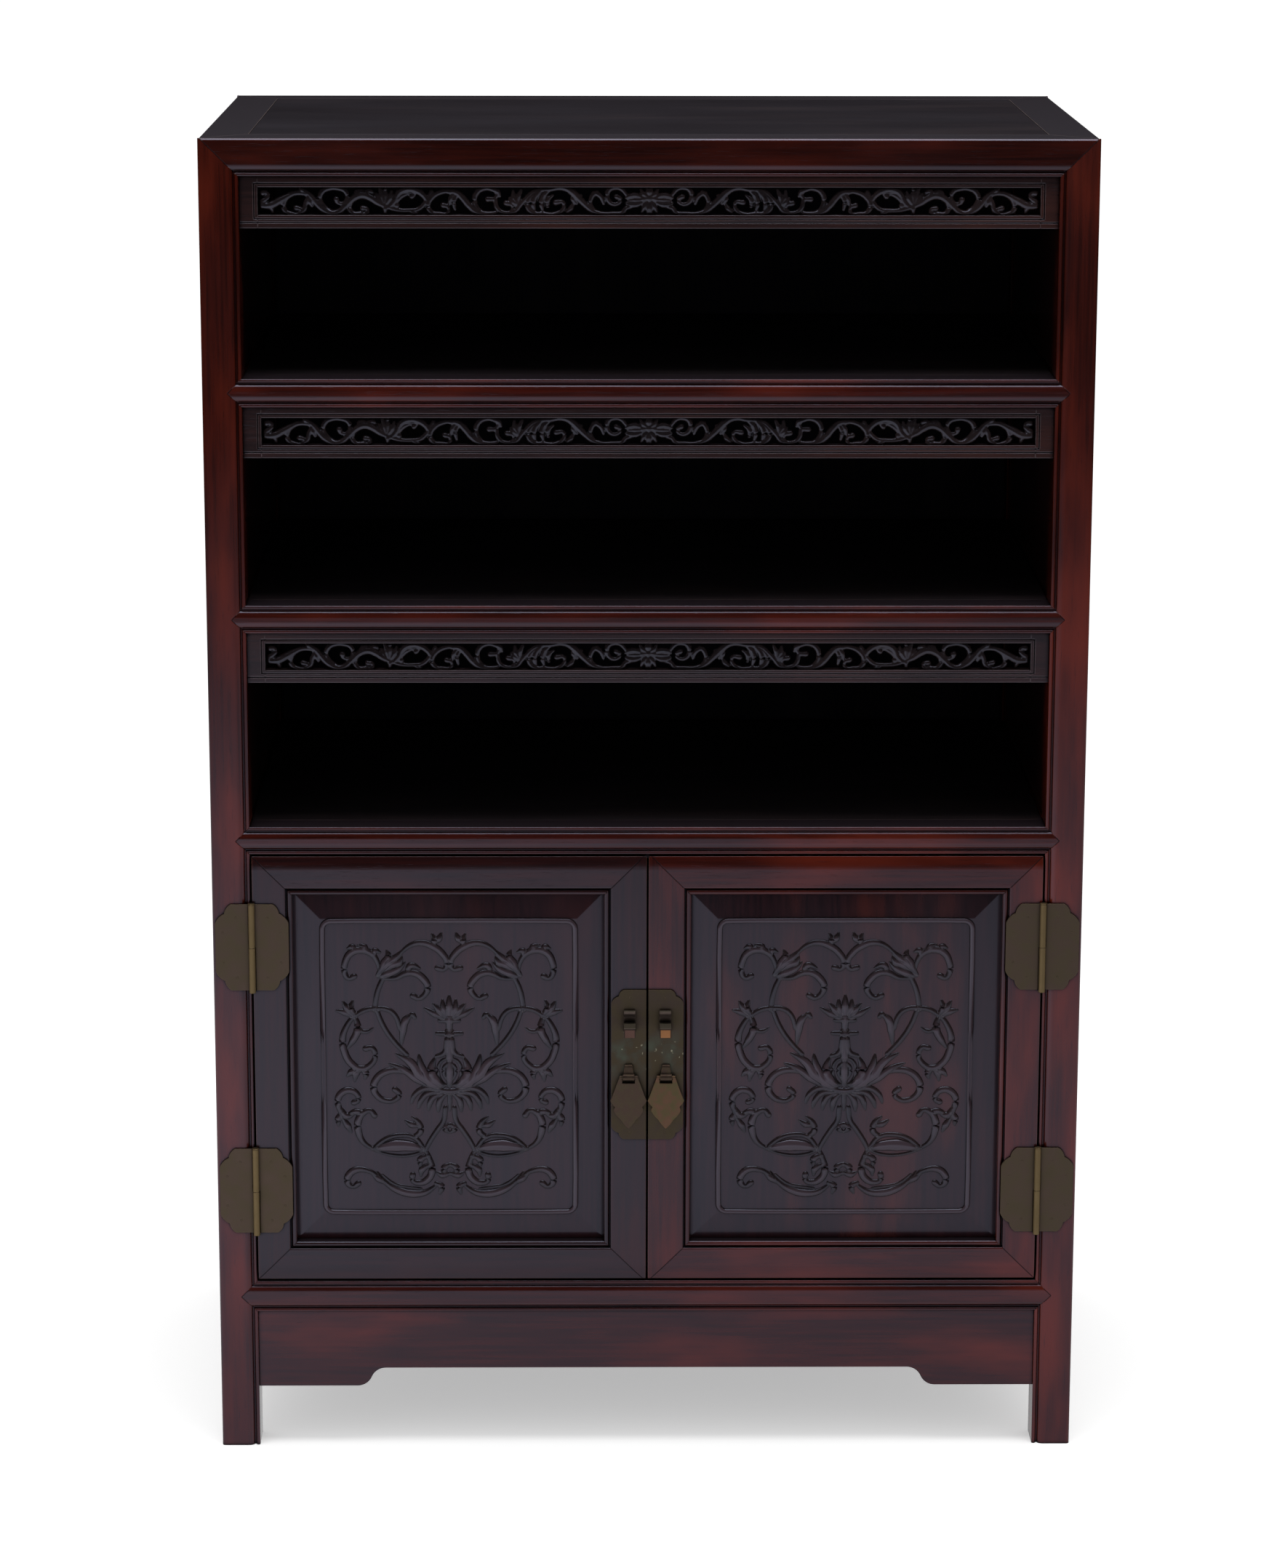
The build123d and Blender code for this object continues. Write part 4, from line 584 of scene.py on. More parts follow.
# The left half of the lotus scroll, about the middle of a door's field: points in mm, radii
LOTUS_SCROLL = {
    "top_arc": (CURL, [(-49.9, 123.9), (-39.7, 132.0), (-28.2, 134.6), (-16.6, 131.0), (-6.9, 123.3),
        (-1.9, 113.3), (-4.6, 106.6), (-11.6, 107.5)]),
    "crest_a": (LOBE, [(-16.6, 132.4), (-14.8, 137.2), (-17.0, 143.4)]),
    "crest_b": (LOBE, [(-15.2, 135.3), (-10.2, 139.1), (-7.8, 144.5)]),
    "upper_outer": (CURL, [(-71.6, 101.8), (-73.9, 113.4), (-80.1, 122.9), (-90.5, 127.0), (-101.6, 123.9),
        (-107.6, 113.9), (-108.4, 102.8), (-104.0, 96.6), (-98.5, 98.6)]),
    "upper_outer_lobe_a": (LOBE, [(-85.9, 124.6), (-87.7, 130.1), (-93.7, 132.0)]),
    "upper_outer_lobe_b": (LOBE, [(-97.0, 124.6), (-100.2, 130.1), (-104.8, 128.7)]),
    "upper_outer_lobe_c": (LOBE, [(-79.0, 121.0), (-76.6, 125.8), (-71.6, 124.6)]),
    "cluster_a": (BLADE, [(-74.9, 99.9), (-65.1, 111.4), (-55.9, 118.1), (-46.2, 127.7)]),
    "cluster_b": (BLADE, [(-74.0, 98.3), (-62.9, 101.8), (-52.5, 106.6), (-45.5, 113.8)]),
    "cluster_c": (BLADE, [(-73.3, 99.5), (-67.5, 112.6), (-62.7, 120.5), (-64.8, 126.6)]),
    "cluster_d": (BLADE, [(-69.8, 101.8), (-58.2, 111.4), (-51.7, 113.8), (-49.0, 121.0)]),
    "upper_inner": (CURL, [(-69.8, 96.6), (-55.9, 96.6), (-44.4, 101.8), (-34.7, 101.8), (-25.9, 95.1),
        (-22.2, 87.4), (-25.0, 79.2), (-31.5, 75.0), (-37.5, 77.4)]),
    "upper_inner_lobe": (LOBE, [(-43.2, 102.8), (-39.7, 110.2), (-30.5, 107.1)]),
    "side_stem": (STEM, [(-66.6, 99.9), (-72.6, 87.5), (-75.9, 75.0), (-77.3, 62.0)]),
    "arch": (STEM, [(-98.9, 55.3), (-89.6, 61.5), (-76.9, 63.9), (-63.4, 62.4), (-56.1, 56.2),
        (-51.4, 42.1)]),
    "leaf_outer": (STEM, [(-75.2, 62.1), (-69.1, 46.1), (-58.4, 29.2), (-44.6, 14.1)]),
    "leaf_inner": (BLADE, [(-38.9, 57.1), (-45.4, 51.3), (-48.3, 39.3), (-50.1, 23.6)]),
    "leaf_tip": ((1.5, 2.6, 2.6), [(-42.0, 56.1), (-38.1, 57.7), (-36.0, 54.3)]),
    "mid_outer": (CURL, [(-86.1, 62.0), (-98.9, 55.3), (-107.5, 43.7), (-111.3, 30.9), (-109.5, 17.2),
        (-102.6, 4.3), (-92.2, -1.3), (-82.2, 3.1), (-77.5, 12.3), (-80.7, 21.0), (-87.3, 20.5)]),
    "mid_inner_leaf": (BLADE, [(-97.9, 55.8), (-95.3, 41.8), (-100.5, 29.7), (-106.7, 20.5)]),
    "mid_inner_curl": ((1.6, 2.6, 2.8, 1.0), [(-95.5, 47.0), (-92.7, 40.6), (-85.8, 38.9), (-78.9, 43.2)]),
    "sprig_mid_a": (LOBE, [(-97.3, 57.2), (-102.3, 63.4), (-100.4, 71.6)]),
    "sprig_mid_b": (LOBE, [(-100.0, 57.6), (-106.5, 64.4), (-110.2, 70.7)]),
    "sprig_mid_c": (LOBE, [(-101.9, 56.0), (-109.3, 60.0), (-116.7, 61.5)]),
    "sprig_low_a": (LOBE, [(-92.9, -1.3), (-97.6, -6.6), (-99.0, -14.3)]),
    "sprig_low_b": (LOBE, [(-91.1, -2.2), (-87.4, -6.6), (-88.3, -11.9)]),
    "sprig_low_c": (LOBE, [(-94.3, -1.3), (-102.7, -5.1), (-106.6, -9.2)]),
    "palmette_a": (LOBE, [(-2.3, 53.6), (-5.9, 63.3), (-6.9, 72.5)]),
    "palmette_b": (LOBE, [(-4.6, 54.2), (-11.0, 62.4), (-16.1, 68.2)]),
    "palmette_c": (LOBE, [(-6.0, 53.7), (-15.3, 58.1), (-25.0, 63.8)]),
    "finial_collar": ((2.8, 3.6), [(-9.7, 50.8), (2.0, 50.8)]),
    "finial_foot": ((2.6, 3.6), [(-12.5, 36.8), (2.0, 36.3)]),
    "shaft_side": ((3.2, 3.6, 3.4, 2.8), [(-2.0, 39.2), (-2.5, 26.0), (-5.4, 15.6), (-12.9, 12.2)]),
    "lotus_heart": (RIB, [(1.0, 10.3), (-8.4, 6.9), (-12.0, -4.3), (-7.5, -16.4), (0.5, -21.2)]),
    "lotus_seed": (RIB, [(0.5, 4.9), (-4.9, 1.5), (-6.3, -6.2), (-2.0, -15.2)]),
    "lotus_petal_a": (PETAL, [(-6.6, -20.2), (-15.3, -13.9), (-19.0, -1.8), (-14.8, 10.8)]),
    "lotus_petal_b": (PETAL, [(-9.0, -22.2), (-20.1, -16.4), (-28.9, -1.3), (-32.0, 13.7)]),
    "lotus_petal_c": (PETAL, [(-16.7, -20.0), (-30.7, -8.7), (-40.9, 5.4), (-56.2, 14.7)]),
    "lotus_petal_d": (BLADE, [(-19.1, -22.2), (-35.3, -12.1), (-49.2, -1.6), (-63.2, 4.0)]),
    "inner_scroll": (CURL, [(-16.7, -24.1), (-28.4, -15.4), (-40.0, -7.2), (-53.9, -3.3), (-67.8, -5.2),
        (-76.7, -12.7), (-79.5, -22.4), (-75.8, -30.9), (-67.0, -36.2), (-57.7, -35.3), (-52.8, -29.0),
        (-57.2, -24.1)]),
    "fringe_a": (LOBE, [(-11.6, -24.1), (-25.1, -22.7), (-36.3, -29.5), (-40.0, -38.7)]),
    "fringe_b": (LOBE, [(-10.7, -26.6), (-23.3, -28.5), (-30.2, -36.3), (-32.6, -44.0)]),
    "fringe_c": (LOBE, [(-8.4, -28.5), (-17.2, -32.4), (-20.9, -39.2), (-22.3, -46.0)]),
    "fringe_d": (LOBE, [(-4.1, -28.7), (-9.7, -34.8), (-11.6, -41.6), (-12.0, -47.5)]),
    "fan_base": ((2.4, 3.4, 3.8), [(-18.7, -21.7), (-8.4, -25.1), (1.0, -26.1)]),
    "low_curl": (CURL, [(-108.9, -64.0), (-113.6, -49.8), (-117.2, -36.1), (-112.6, -27.4), (-103.7, -25.0),
        (-96.8, -29.4), (-95.9, -35.7), (-100.1, -38.1)]),
    "low_curl_leaf_a": (LOBE, [(-113.4, -46.3), (-107.6, -53.1), (-100.5, -50.2)]),
    "low_curl_leaf_b": (LOBE, [(-111.2, -57.1), (-107.1, -63.5), (-103.8, -70.3)]),
    "low_curl_leaf_c": (LOBE, [(-113.1, -49.8), (-116.9, -56.1), (-116.5, -63.0)]),
    "s_stem": (STEM, [(-4.7, -44.0), (-6.5, -57.7), (-13.1, -67.9), (-20.5, -79.6), (-26.6, -91.3)]),
    "big_leaf": ((1.5, 6.0, 7.4, 5.0, 1.2), [(-26.7, -90.3), (-40.1, -86.4), (-56.4, -85.4), (-70.4, -87.4),
        (-81.2, -89.8)]),
    "big_leaf_edge": (STEM, [(-28.5, -87.4), (-37.3, -76.7), (-52.2, -74.2), (-68.1, -78.6), (-80.2, -88.8)]),
    "big_leaf_foot": (RIB, [(-28.5, -91.8), (-40.1, -95.7), (-58.8, -96.2), (-81.2, -90.3)]),
    "low_outer": (CURL, [(-79.8, -89.3), (-90.5, -82.0), (-96.0, -69.8), (-96.0, -58.1), (-90.3, -49.3),
        (-82.9, -47.4), (-79.0, -52.2)]),
    "low_outer_link": (LOBE, [(-90.3, -49.8), (-98.2, -48.3), (-105.7, -50.2)]),
    "low_sprig_a": (LOBE, [(-38.7, -76.2), (-30.8, -69.8), (-32.6, -60.6), (-39.1, -54.7)]),
    "low_sprig_b": (LOBE, [(-33.2, -63.5), (-40.1, -62.5), (-46.2, -58.6)]),
    "bottom_scroll": (CURL, [(-26.0, -89.3), (-21.0, -101.6), (-19.2, -113.3), (-23.8, -122.6),
        (-32.7, -126.5), (-39.7, -123.6), (-39.5, -117.7)]),
    "bottom_ruffle_a": (LOBE, [(-23.3, -96.7), (-31.3, -101.0), (-30.8, -108.4)]),
    "bottom_ruffle_b": (LOBE, [(-21.3, -106.5), (-29.7, -111.9), (-30.8, -118.2)]),
    "bottom_leaf": (BLADE, [(-14.8, -129.0), (-26.2, -136.8), (-40.2, -138.3), (-54.2, -134.8),
        (-66.8, -127.0), (-76.7, -114.2)]),
    "bottom_leaf_edge": (RIB, [(-30.9, -132.9), (-44.9, -130.9), (-58.9, -127.5), (-71.5, -117.1)]),
    "bottom_leaf_lobe": (LOBE, [(-68.6, -126.0), (-75.7, -121.6), (-81.9, -115.7)]),
    "bottom_curl": (CURL, [(-74.1, -119.1), (-87.3, -112.8), (-98.5, -111.8), (-106.5, -117.6),
        (-107.9, -125.9), (-102.4, -130.4), (-96.8, -126.9)]),
    "low_bud": (LOBE, [(0.5, -62.6), (-5.2, -66.0), (-1.0, -70.9)]),
    "foot_bud_a": (LOBE, [(-1.0, -106.5), (-6.6, -110.4), (-4.7, -117.3)]),
    "foot_bud_b": (LOBE, [(-1.0, -115.9), (-8.5, -117.7), (-13.7, -115.3)]),
    "foot_bud_c": (LOBE, [(-14.7, -127.1), (-9.3, -130.5), (-11.1, -137.9)]),
}
# Its strokes on the axis, which aren't mirrored
LOTUS_AXIS = [
    ((3.2, 4.6, 1.8), [(0.0, 52.6), (0.0, 65.7), (0.0, 77.2)]),
    ((4.2, 3.2, 4.4), [(0.0, 53.0), (0.0, 42.0), (0.0, 34.0), (0.0, 22.0), (0.0, 10.0)]),
    ((3.4, 4.6, 4.2, 2.0), [(0.0, 6.0), (0.0, -4.0), (0.0, -14.0), (0.0, -22.0)]),
    ((2.4, 3.0, 1.4), [(0.0, -26.0), (0.0, -37.3), (0.0, -47.1)]),
]

# Radii in mm of the strokes of the friezes
VINE = (2.4, 2.8, 2.8, 2.5)
VINE_BODY = (2.4, 3.5, 4.0, 3.6, 2.8)
VINE_CURL = (2.2, 2.8, 3.2, 3.2, 2.9, 2.5, 2.2, 3.4)
VINE_HOOK = (2.5, 2.8, 2.6, 2.3, 3.4)
VINE_LEAF = (3.2, 4.5, 4.2, 2.7)
VINE_LOBE = (2.4, 3.1, 1.9)
VINE_PETAL = (2.0, 3.5, 3.3, 1.9)
VINE_EYE = (1.8, 2.5, 3.2)

# The left half of a frieze's running vine, about the middle of its opening
FRIEZE_VINE = {
    "end_curl": (VINE_CURL, [(-375.5, -5.8), (-380.6, -5.7), (-386.3, -4.5), (-387.0, -1.2), (-383.3, 1.4),
        (-381.0, 4.5), (-382.5, 7.6), (-386.1, 7.6)]),
    "end_leaf": (VINE_LEAF, [(-386.8, -5.4), (-378.0, -4.5), (-368.9, 0.1), (-357.0, 6.8)]),
    "end_tip": (VINE_LOBE, [(-380.3, -3.8), (-377.8, -8.0), (-376.8, -11.4)]),
    "ring1": (VINE_CURL, [(-340.5, 5.5), (-350.2, 7.6), (-359.2, 5.3), (-365.1, -1.2), (-364.7, -9.7),
        (-358.2, -13.2), (-350.5, -13.2), (-348.2, -9.7), (-352.8, -7.5)]),
    "ring1_back": (VINE, [(-350.5, -13.2), (-345.3, -9.6), (-343.5, -2.5), (-340.1, 4.0)]),
    "stem1": (VINE_BODY, [(-344.1, 9.2), (-338.0, 4.2), (-332.7, -2.5), (-326.6, -8.4), (-317.6, -12.7),
        (-310.5, -11.1), (-304.0, -5.4), (-294.9, 2.9)]),
    "stem1_leaf": (VINE_LOBE, [(-341.6, 4.0), (-339.6, -1.2), (-337.4, -5.4)]),
    "bud1": (VINE_LOBE, [(-344.1, 8.6), (-347.4, 10.7), (-349.2, 13.2)]),
    "ring2": (VINE_CURL, [(-317.1, -11.4), (-325.3, -5.9), (-329.3, 1.4), (-327.0, 8.5), (-319.9, 12.3),
        (-310.9, 12.3), (-303.9, 9.2), (-302.0, 2.7), (-305.9, -2.5), (-311.3, -2.0), (-312.8, 1.4)]),
    "arch3": (VINE_LEAF, [(-302.0, -3.8), (-294.8, 2.7), (-286.5, 5.5), (-278.8, 2.9), (-271.8, -2.0),
        (-265.4, -5.4)]),
    "arch3_lobe_a": (VINE_LOBE, [(-294.2, 4.0), (-291.6, 8.7), (-287.0, 9.7)]),
    "arch3_lobe_b": (VINE_LOBE, [(-285.2, 5.8), (-281.3, 9.4), (-277.2, 8.7)]),
    "ring3": (VINE_CURL, [(-294.9, 1.6), (-299.7, -5.4), (-296.7, -12.7), (-289.8, -13.2), (-283.1, -13.2),
        (-282.0, -9.0), (-286.6, -7.7)]),
    "palm1": (VINE_LOBE, [(-265.5, -4.5), (-267.2, 4.0), (-269.7, 13.2)]),
    "palm2": (VINE_LOBE, [(-265.0, -4.5), (-263.8, 5.3), (-263.7, 13.2)]),
    "palm3": (VINE_LOBE, [(-264.4, -4.5), (-259.5, 2.7), (-257.4, 8.7)]),
    "palm4": (VINE_LOBE, [(-266.3, -4.5), (-271.1, 2.7), (-273.1, 6.6)]),
    "palm_knot": (VINE_LOBE, [(-264.9, -2.5), (-264.2, -8.0), (-264.3, -12.9)]),
    "loop_top": (VINE_BODY, [(-260.9, -7.1), (-254.9, -1.2), (-250.4, 7.6), (-241.4, 11.3), (-232.4, 9.7),
        (-226.0, 5.3), (-222.7, 0.7)]),
    "loop_low": (VINE, [(-263.4, -5.8), (-258.3, -7.7), (-250.6, -9.5), (-240.3, -9.8), (-231.0, -8.5),
        (-223.5, -1.2), (-218.0, 8.7)]),
    "loop_leaf": (VINE_LOBE, [(-253.1, -1.2), (-246.6, 5.3), (-240.1, 7.1)]),
    "loop_eye": (VINE_EYE, [(-232.1, 9.2), (-235.0, 6.6), (-237.3, 4.3)]),
    "loop_ball": (VINE_EYE, [(-257.0, -2.5), (-254.4, -4.6), (-252.6, -4.8)]),
    "loop_bud": (VINE_LOBE, [(-240.3, -9.8), (-235.7, -11.9), (-232.3, -12.6)]),
    "ring4": (VINE_CURL, [(-197.6, 9.2), (-207.9, 8.4), (-217.2, 3.2), (-221.2, -4.8), (-217.6, -12.1),
        (-209.7, -13.2), (-202.2, -12.6), (-201.1, -7.2), (-206.0, -4.6)]),
    "stem2": (VINE_BODY, [(-201.4, 8.4), (-193.5, 8.2), (-186.5, 2.3), (-180.5, -4.8), (-173.3, -11.1),
        (-162.2, -13.2), (-154.3, -12.5)]),
    "stem2_leaf_a": (VINE_LOBE, [(-192.2, 6.3), (-195.4, -0.3), (-194.4, -9.0)]),
    "stem2_leaf_b": (VINE_LOBE, [(-194.3, 7.6), (-198.5, 2.3), (-200.2, -3.7)]),
    "ring5": (VINE_CURL, [(-162.2, -13.2), (-170.7, -9.3), (-174.7, -0.6), (-172.8, 7.4), (-165.7, 12.1),
        (-157.3, 11.3), (-152.6, 7.4), (-154.7, 2.4), (-161.3, 1.6)]),
    "ring5_lobe": (VINE_LOBE, [(-156.8, 11.1), (-152.1, 9.5), (-149.7, 4.7)]),
    "ring6": (VINE_HOOK, [(-154.0, 1.0), (-152.4, -7.2), (-146.4, -11.7), (-138.5, -10.9), (-136.9, -5.0),
        (-143.0, -2.4)]),
    "ring6_back": (VINE, [(-141.2, -11.9), (-134.6, -10.9), (-129.3, -4.3), (-123.3, 2.4), (-116.2, 8.5),
        (-108.3, 11.1)]),
    "sprig_a": (VINE_LOBE, [(-131.9, -2.9), (-135.6, 2.9), (-136.3, 9.5)]),
    "sprig_b": (VINE_LOBE, [(-131.4, -1.6), (-130.6, 5.0), (-128.2, 10.6)]),
    "sprig_c": (VINE_LOBE, [(-132.5, -3.7), (-136.7, -1.1), (-139.5, 2.4)]),
    "ring7": (VINE_CURL, [(-108.3, 11.1), (-118.0, 4.5), (-122.2, -3.7), (-117.3, -11.9), (-106.3, -13.2),
        (-93.6, -13.2), (-85.8, -7.2), (-86.5, -1.6), (-93.6, -1.6)]),
    "petal7a": (VINE_PETAL, [(-114.9, -9.5), (-116.2, -1.6), (-112.5, 6.3), (-106.7, 11.4)]),
    "petal7b": (VINE_PETAL, [(-106.8, -9.5), (-108.3, -1.6), (-105.1, 6.3), (-99.9, 10.0)]),
    "petal7c": (VINE_LOBE, [(-101.8, -5.6), (-101.5, 1.0), (-97.0, 5.3)]),
    "arch7": (VINE_BODY, [(-108.3, 10.8), (-99.1, 11.4), (-89.9, 13.2), (-81.8, 11.6), (-76.0, 7.4),
        (-70.8, 2.4), (-64.5, -3.7), (-56.9, -10.1), (-47.9, -13.2)]),
    "arch7_leaf_a": (VINE_LOBE, [(-82.1, 10.3), (-75.5, 6.3), (-68.4, 5.0)]),
    "arch7_leaf_b": (VINE_LOBE, [(-76.8, 7.7), (-76.3, 1.1), (-72.9, -2.9)]),
    "bud7": (VINE_LOBE, [(-82.1, -10.9), (-78.7, -7.7), (-76.3, -3.7)]),
    "ring8": (VINE, [(-54.5, -11.1), (-59.0, -4.2), (-57.7, 3.7), (-52.9, 8.5)]),
    "ring8_floor": (VINE, [(-53.2, -12.4), (-45.3, -13.2), (-36.1, -13.0), (-26.7, -11.9), (-23.5, -7.7),
        (-17.5, -5.6)]),
    "leaf8": (VINE_LOBE, [(-55.8, 7.7), (-49.3, 5.0), (-45.8, -2.9)]),
    "ring9": (VINE_CURL, [(-23.3, 6.4), (-28.3, 11.9), (-34.6, 13.2), (-40.1, 11.1), (-42.2, 4.5),
        (-38.8, -2.1), (-31.9, -2.9), (-28.8, 1.3), (-32.7, 4.2)]),
    "side_a": (VINE_PETAL, [(-6.0, 2.4), (-12.5, 5.3), (-18.3, 5.0), (-23.0, 2.9)]),
    "side_b": (VINE_PETAL, [(-5.9, -1.0), (-12.5, -3.7), (-17.8, -4.0), (-22.7, -2.4)]),
    "side_c": (VINE_LOBE, [(-7.3, 0.8), (-13.8, 0.8), (-20.4, 0.5)]),
    "ros_a": (VINE_LOBE, [(-1.2, 3.7), (-5.7, 6.6), (-8.3, 10.9)]),
    "ros_b": (VINE_LOBE, [(-2.0, 2.4), (-6.5, 1.6), (-9.6, 1.1)]),
    "ros_c": (VINE_LOBE, [(-1.2, -1.6), (-4.9, -6.1), (-7.2, -11.1)]),
    "ros_d": (VINE_LOBE, [(0.1, -2.1), (-0.9, -7.7), (-1.7, -13.2)]),
    "ros_e": (VINE_LOBE, [(0.1, 5.0), (-1.2, 9.0), (-1.8, 12.7)]),
}
# Its strokes on the axis
FRIEZE_AXIS = [
    ((2.4, 3.4, 3.4, 2.4), [(-2.2, 2.0), (-0.8, 2.0), (0.8, 2.0), (2.2, 2.0)]),
    (VINE_LOBE, [(0.0, -2.1), (0.0, -6.5), (0.0, -12.9)]),
    (VINE_LOBE, [(0.0, 5.0), (0.0, 9.5), (0.0, 13.2)]),
]

FRIEZE_DEPTH = 1.05             # share of a stroke's radius
FRIEZE_GRAIN = 0.7              # mm, the finest form that the carving keeps
SOFTENING = 0.5                 # share of the way that a point moves to the middle of its neighbours
RELIEF_SINK = 0.4               # mm, how deep the strokes' middle plane lies in the field
LINE_PROUD = 2.0                # mm, how far the solid panel's own line stands before its field
LINE_INSET = 36.0               # mm, from the panel's edges, tongues included, to the middle of the line
LINE_CORNER = 9.0               # mm, the radius of its corners
LINE_RADIUS = 3.0               # mm, half the line's width
LINE_DEPTH, RELIEF_DEPTH = 1.0, 0.62   # shares of a stroke's radius


def both_halves(halves, axis):
    """The strokes of a symmetrical pattern from those of its left half and those on its axis."""
    strokes = []
    for radii, points in halves:
        strokes.append((points, radii, False))
        strokes.append(([(-x, z) for x, z in points], radii, False))
    return strokes + [(points, radii, False) for radii, points in axis]


def rounded_rectangle(half_x, half_z, corner):
    """Points around a rectangle with rounded corners, close together there to keep the corners round."""
    points = []
    for sx, sz, turn in ((1, 1, 0), (-1, 1, 90), (-1, -1, 180), (1, -1, 270)):
        cx, cz = sx * (half_x - corner), sz * (half_z - corner)
        for step in range(CORNER_STEPS + 1):
            angle = math.radians(turn + 90 / CORNER_STEPS * step)
            points.append((cx + corner * math.cos(angle), cz + corner * math.sin(angle)))
    return points


for side in SIDES:
    low, high = corners_of(f"{side}_door_panel")
    across, _, up = middle_of(f"{side}_door_panel")
    ground = low[1] + LINE_PROUD
    border = rounded_rectangle(high[0] - across - LINE_INSET, high[2] - up - LINE_INSET, LINE_CORNER)
    scroll = carve("scroll", both_halves(LOTUS_SCROLL.values(), LOTUS_AXIS), RELIEF_DEPTH,
                   ground + RELIEF_SINK)
    line = carve("line", [(border, (LINE_RADIUS,), True)], LINE_DEPTH, ground)
    relief = join_as(f"{side}_door_relief", [scroll, line])
    move_to(relief, across, up)
    relief.data.materials.clear()
    relief.data.materials.append(relief_upright)
    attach(relief, f"{side}_door")


def fuse(made, grain, smoothing):
    """The overlapping strokes of a piece as one closed skin, with the cuts between them left soft."""
    pick([made])
    skin = made.modifiers.new("skin", "REMESH")
    skin.mode, skin.voxel_size = "VOXEL", grain * MM
    bpy.ops.object.modifier_apply(modifier=skin.name)
    soft = made.modifiers.new("soft", "SMOOTH")
    soft.factor, soft.iterations = SOFTENING, smoothing
    bpy.ops.object.modifier_apply(modifier=soft.name)
    bpy.ops.object.shade_smooth()
    return made


vine = carve("vine", both_halves(FRIEZE_VINE.values(), FRIEZE_AXIS), FRIEZE_DEPTH,
             middle_of("upper_frieze_carving")[1])
vine = fuse(vine, FRIEZE_GRAIN, smoothing=1)
for tier in TIERS:
    across, _, up = middle_of(f"{tier}_frieze_carving")
    carving = vine.copy()
    carving.data = vine.data.copy()
    carving.name = carving.data.name = f"{tier}_frieze_vine"
    bpy.context.scene.collection.objects.link(carving)
    move_to(carving, across, up)
    carving.data.materials.append(carved_across)
    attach(carving, "carcass")
    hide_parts(f"{tier}_frieze_carving")
bpy.data.objects.remove(vine)


# Studio

def stage_box(name, low, high, material):
    """A closed box of the studio, from its lowest to its highest corner."""
    centre = [(a + b) / 2 for a, b in zip(low, high)]
    bpy.ops.mesh.primitive_cube_add(size=1, location=centre, scale=[b - a for a, b in zip(low, high)])
    made = bpy.context.active_object
    bpy.ops.object.transform_apply(location=True, rotation=True, scale=True)
    made.name = name
    made.data.materials.append(material)
    return made


FLOOR_HALF = 60.0      # m
ROOM_FRONT, ROOM_BACK, ROOM_SIDE, ROOM_HEIGHT = -7.5, 7.5, 7.5, 14.0   # m
SHEET = 0.02           # m, the thickness of the floor and of the cloths

# The floor is white paper. What the polish mirrors of it is a painted glow, no lamp: brighter to the left,
# darkened near the object by a painted shadow, and fading to the dark of the studio.
GLOSS_NEAR, GLOSS_FAR = 1.5, 6.4   # m from the middle of the object
GLOSS_SHADE = (0.4, 1.4)           # m, from where the object's painted shadow in the mirrored glow is full to its end
GLOSS_SHADED = 0.72                # the strength that the painted shadow leaves
GLOSS_SIDE = (1.0, 0.70)           # the strength of the floor's painted glow, as the polish mirrors it, to the left and to the right
SIDE_REACH = 0.6                   # m from the middle, where those strengths are full
FLOOR_LIFT = 0.42                  # glow that takes the lit paper to white for the camera

paper, tree = new_material("white_floor_paper")
seen = add(tree, "LightPath", {}, {})
seen_bare = add(tree, "Math", LARGER, {0: seen["Is Camera Ray"], 1: seen["Is Transmission Ray"]})[0]
spot = add(tree, "TexCoord", {}, {})["Object"]
reach = add(tree, "VectorMath", {"operation": "LENGTH"}, {0: spot})["Value"]
fading = add(tree, "MapRange", SMOOTH, {"Value": reach} | span(GLOSS_NEAR, GLOSS_FAR) | given(1.0, 0.0))[0]
painted_floor_shadow = add(tree, "MapRange", SMOOTH, {"Value": reach} | span(*GLOSS_SHADE) | given(GLOSS_SHADED, 1.0))[0]
across = add(tree, "SeparateXYZ", {}, {0: spot})[0]
painted_side_glow = add(tree, "MapRange", {}, {"Value": across} | span(-SIDE_REACH, SIDE_REACH) | given(*GLOSS_SIDE))[0]
shine = add(tree, "Math", TIMES, {0: fading, 1: painted_floor_shadow})[0]
shine = add(tree, "Math", TIMES, {0: shine, 1: painted_side_glow})[0]
lift = add(tree, "Math", TIMES, {0: seen_bare, 1: FLOOR_LIFT})[0]
chalk = add(tree, "BsdfDiffuse", {}, {"Color": linear("#F3F3F3")})[0]
glow = add(tree, "Emission", {}, {"Strength": lift})[0]
lit = add(tree, "AddShader", {}, {0: chalk, 1: glow})[0]
# painted light: for the polish the floor is a glow, no lamp, with a painted shadow of the object and brighter
# to the left
painted_floor_glow = add(tree, "Emission", {}, {"Strength": shine})[0]
chosen = add(tree, "MixShader", {}, {0: seen["Is Glossy Ray"], 1: lit, 2: painted_floor_glow})[0]
add(tree, "OutputMaterial", {}, {"Surface": chosen})
stage_box("studio_floor", (-FLOOR_HALF, -FLOOR_HALF, -SHEET), (FLOOR_HALF, FLOOR_HALF, 0.0), paper)

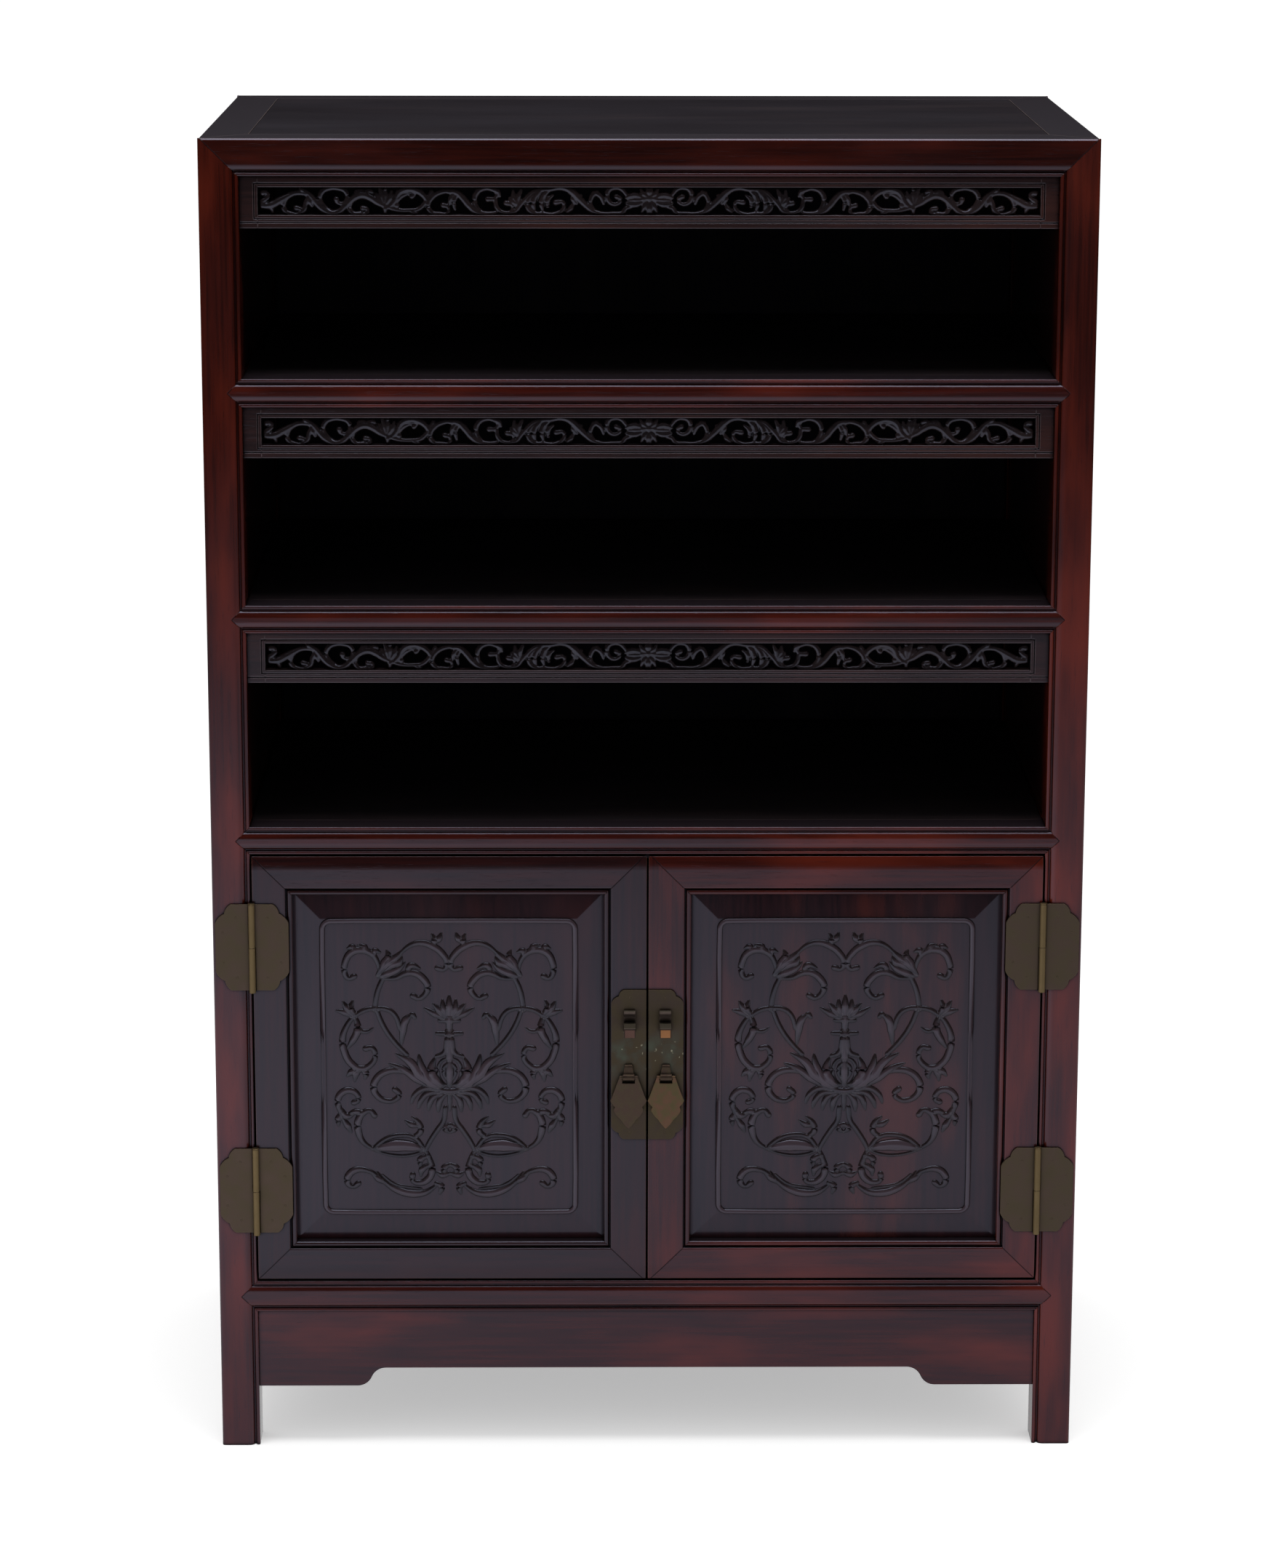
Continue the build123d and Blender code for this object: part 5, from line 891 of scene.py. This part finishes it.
# black cloth hung round the set, seen only in the polish: it keeps the upper faces and the top dark
cloth, tree = new_material("black_velvet_cloth")
velvet = add(tree, "BsdfDiffuse", {}, {"Color": linear("#0B0B0C")})[0]
add(tree, "OutputMaterial", {}, {"Surface": velvet})
for name, low, high in (
        ("cloth_front", (-ROOM_SIDE, ROOM_FRONT - SHEET, 0.0), (ROOM_SIDE, ROOM_FRONT, ROOM_HEIGHT)),
        ("cloth_back", (-ROOM_SIDE, ROOM_BACK, 0.0), (ROOM_SIDE, ROOM_BACK + SHEET, ROOM_HEIGHT)),
        ("cloth_left", (-ROOM_SIDE - SHEET, ROOM_FRONT, 0.0), (-ROOM_SIDE, ROOM_BACK, ROOM_HEIGHT)),
        ("cloth_right", (ROOM_SIDE, ROOM_FRONT, 0.0), (ROOM_SIDE + SHEET, ROOM_BACK, ROOM_HEIGHT))):
    made = stage_box(name, low, high, cloth)
    made.visible_camera = made.visible_diffuse = made.visible_shadow = made.visible_transmission = False

BACKDROP, DAYLIGHT = 1.0, 0.7   # strengths: what is seen behind the object is white, what lights it is softer

world = bpy.data.worlds.new("studio_air")
bpy.context.scene.world = world
world.use_nodes = True
tree = world.node_tree
tree.nodes.clear()
seen = add(tree, "LightPath", {}, {})
seen_any = add(tree, "Math", LARGER, {0: seen["Is Camera Ray"], 1: seen["Is Glossy Ray"]})[0]
seen_any = add(tree, "Math", LARGER, {0: seen_any, 1: seen["Is Transmission Ray"]})[0]
backdrop = add(tree, "Background", {}, {"Color": linear("#FFFFFF"), "Strength": BACKDROP})[0]
daylight = add(tree, "Background", {}, {"Color": linear("#FFFFFF"), "Strength": DAYLIGHT})[0]
chosen = add(tree, "MixShader", {}, {0: seen_any, 1: daylight, 2: backdrop})[0]
add(tree, "OutputWorld", {}, {"Surface": chosen})


def soft_lamp(name, place, aim, size, power):
    """A rectangular softbox at a place, turned to what it lights; size in m, power in W."""
    light = bpy.data.lights.new(name, "AREA")
    light.shape, light.size, light.size_y, light.energy = "RECTANGLE", size[0], size[1], power
    lamp = bpy.data.objects.new(name, light)
    bpy.context.scene.collection.objects.link(lamp)
    lamp.location = place
    lamp.rotation_mode = "QUATERNION"
    lamp.rotation_quaternion = (Vector(aim) - Vector(place)).to_track_quat("-Z", "Y")


soft_lamp("overhead_softbox", place=(0.0, -0.4, 3.4), aim=(0.0, 0.0, 0.0), size=(2.6, 1.6), power=60)

# Camera: a 104 mm lens over a sensor whose 36 mm are the frame's long side
SENSOR = 36.0                                # mm
LENS_PX, FRAME_PX = 6229.1, 2156             # the focal length and the frame's long side, in pixels
EYE = (-0.0651, -4.7878, 1.7779)             # m
YAW, PITCH, ROLL = 0.0104, 0.2291, 0.0018    # radians

camera = bpy.data.cameras.new("camera")
camera.sensor_width = SENSOR
camera.sensor_fit = "AUTO"
camera.lens = LENS_PX / FRAME_PX * SENSOR
viewer = bpy.data.objects.new("camera", camera)
bpy.context.scene.collection.objects.link(viewer)
viewer.location = EYE
viewer.rotation_mode = "QUATERNION"
forward = Vector((math.sin(YAW) * math.cos(PITCH), math.cos(YAW) * math.cos(PITCH), -math.sin(PITCH)))
viewer.rotation_quaternion = forward.to_track_quat("-Z", "Y") @ Matrix.Rotation(ROLL, 3, "Z").to_quaternion()
bpy.context.scene.camera = viewer
bpy.context.scene.view_settings.view_transform = "Standard"
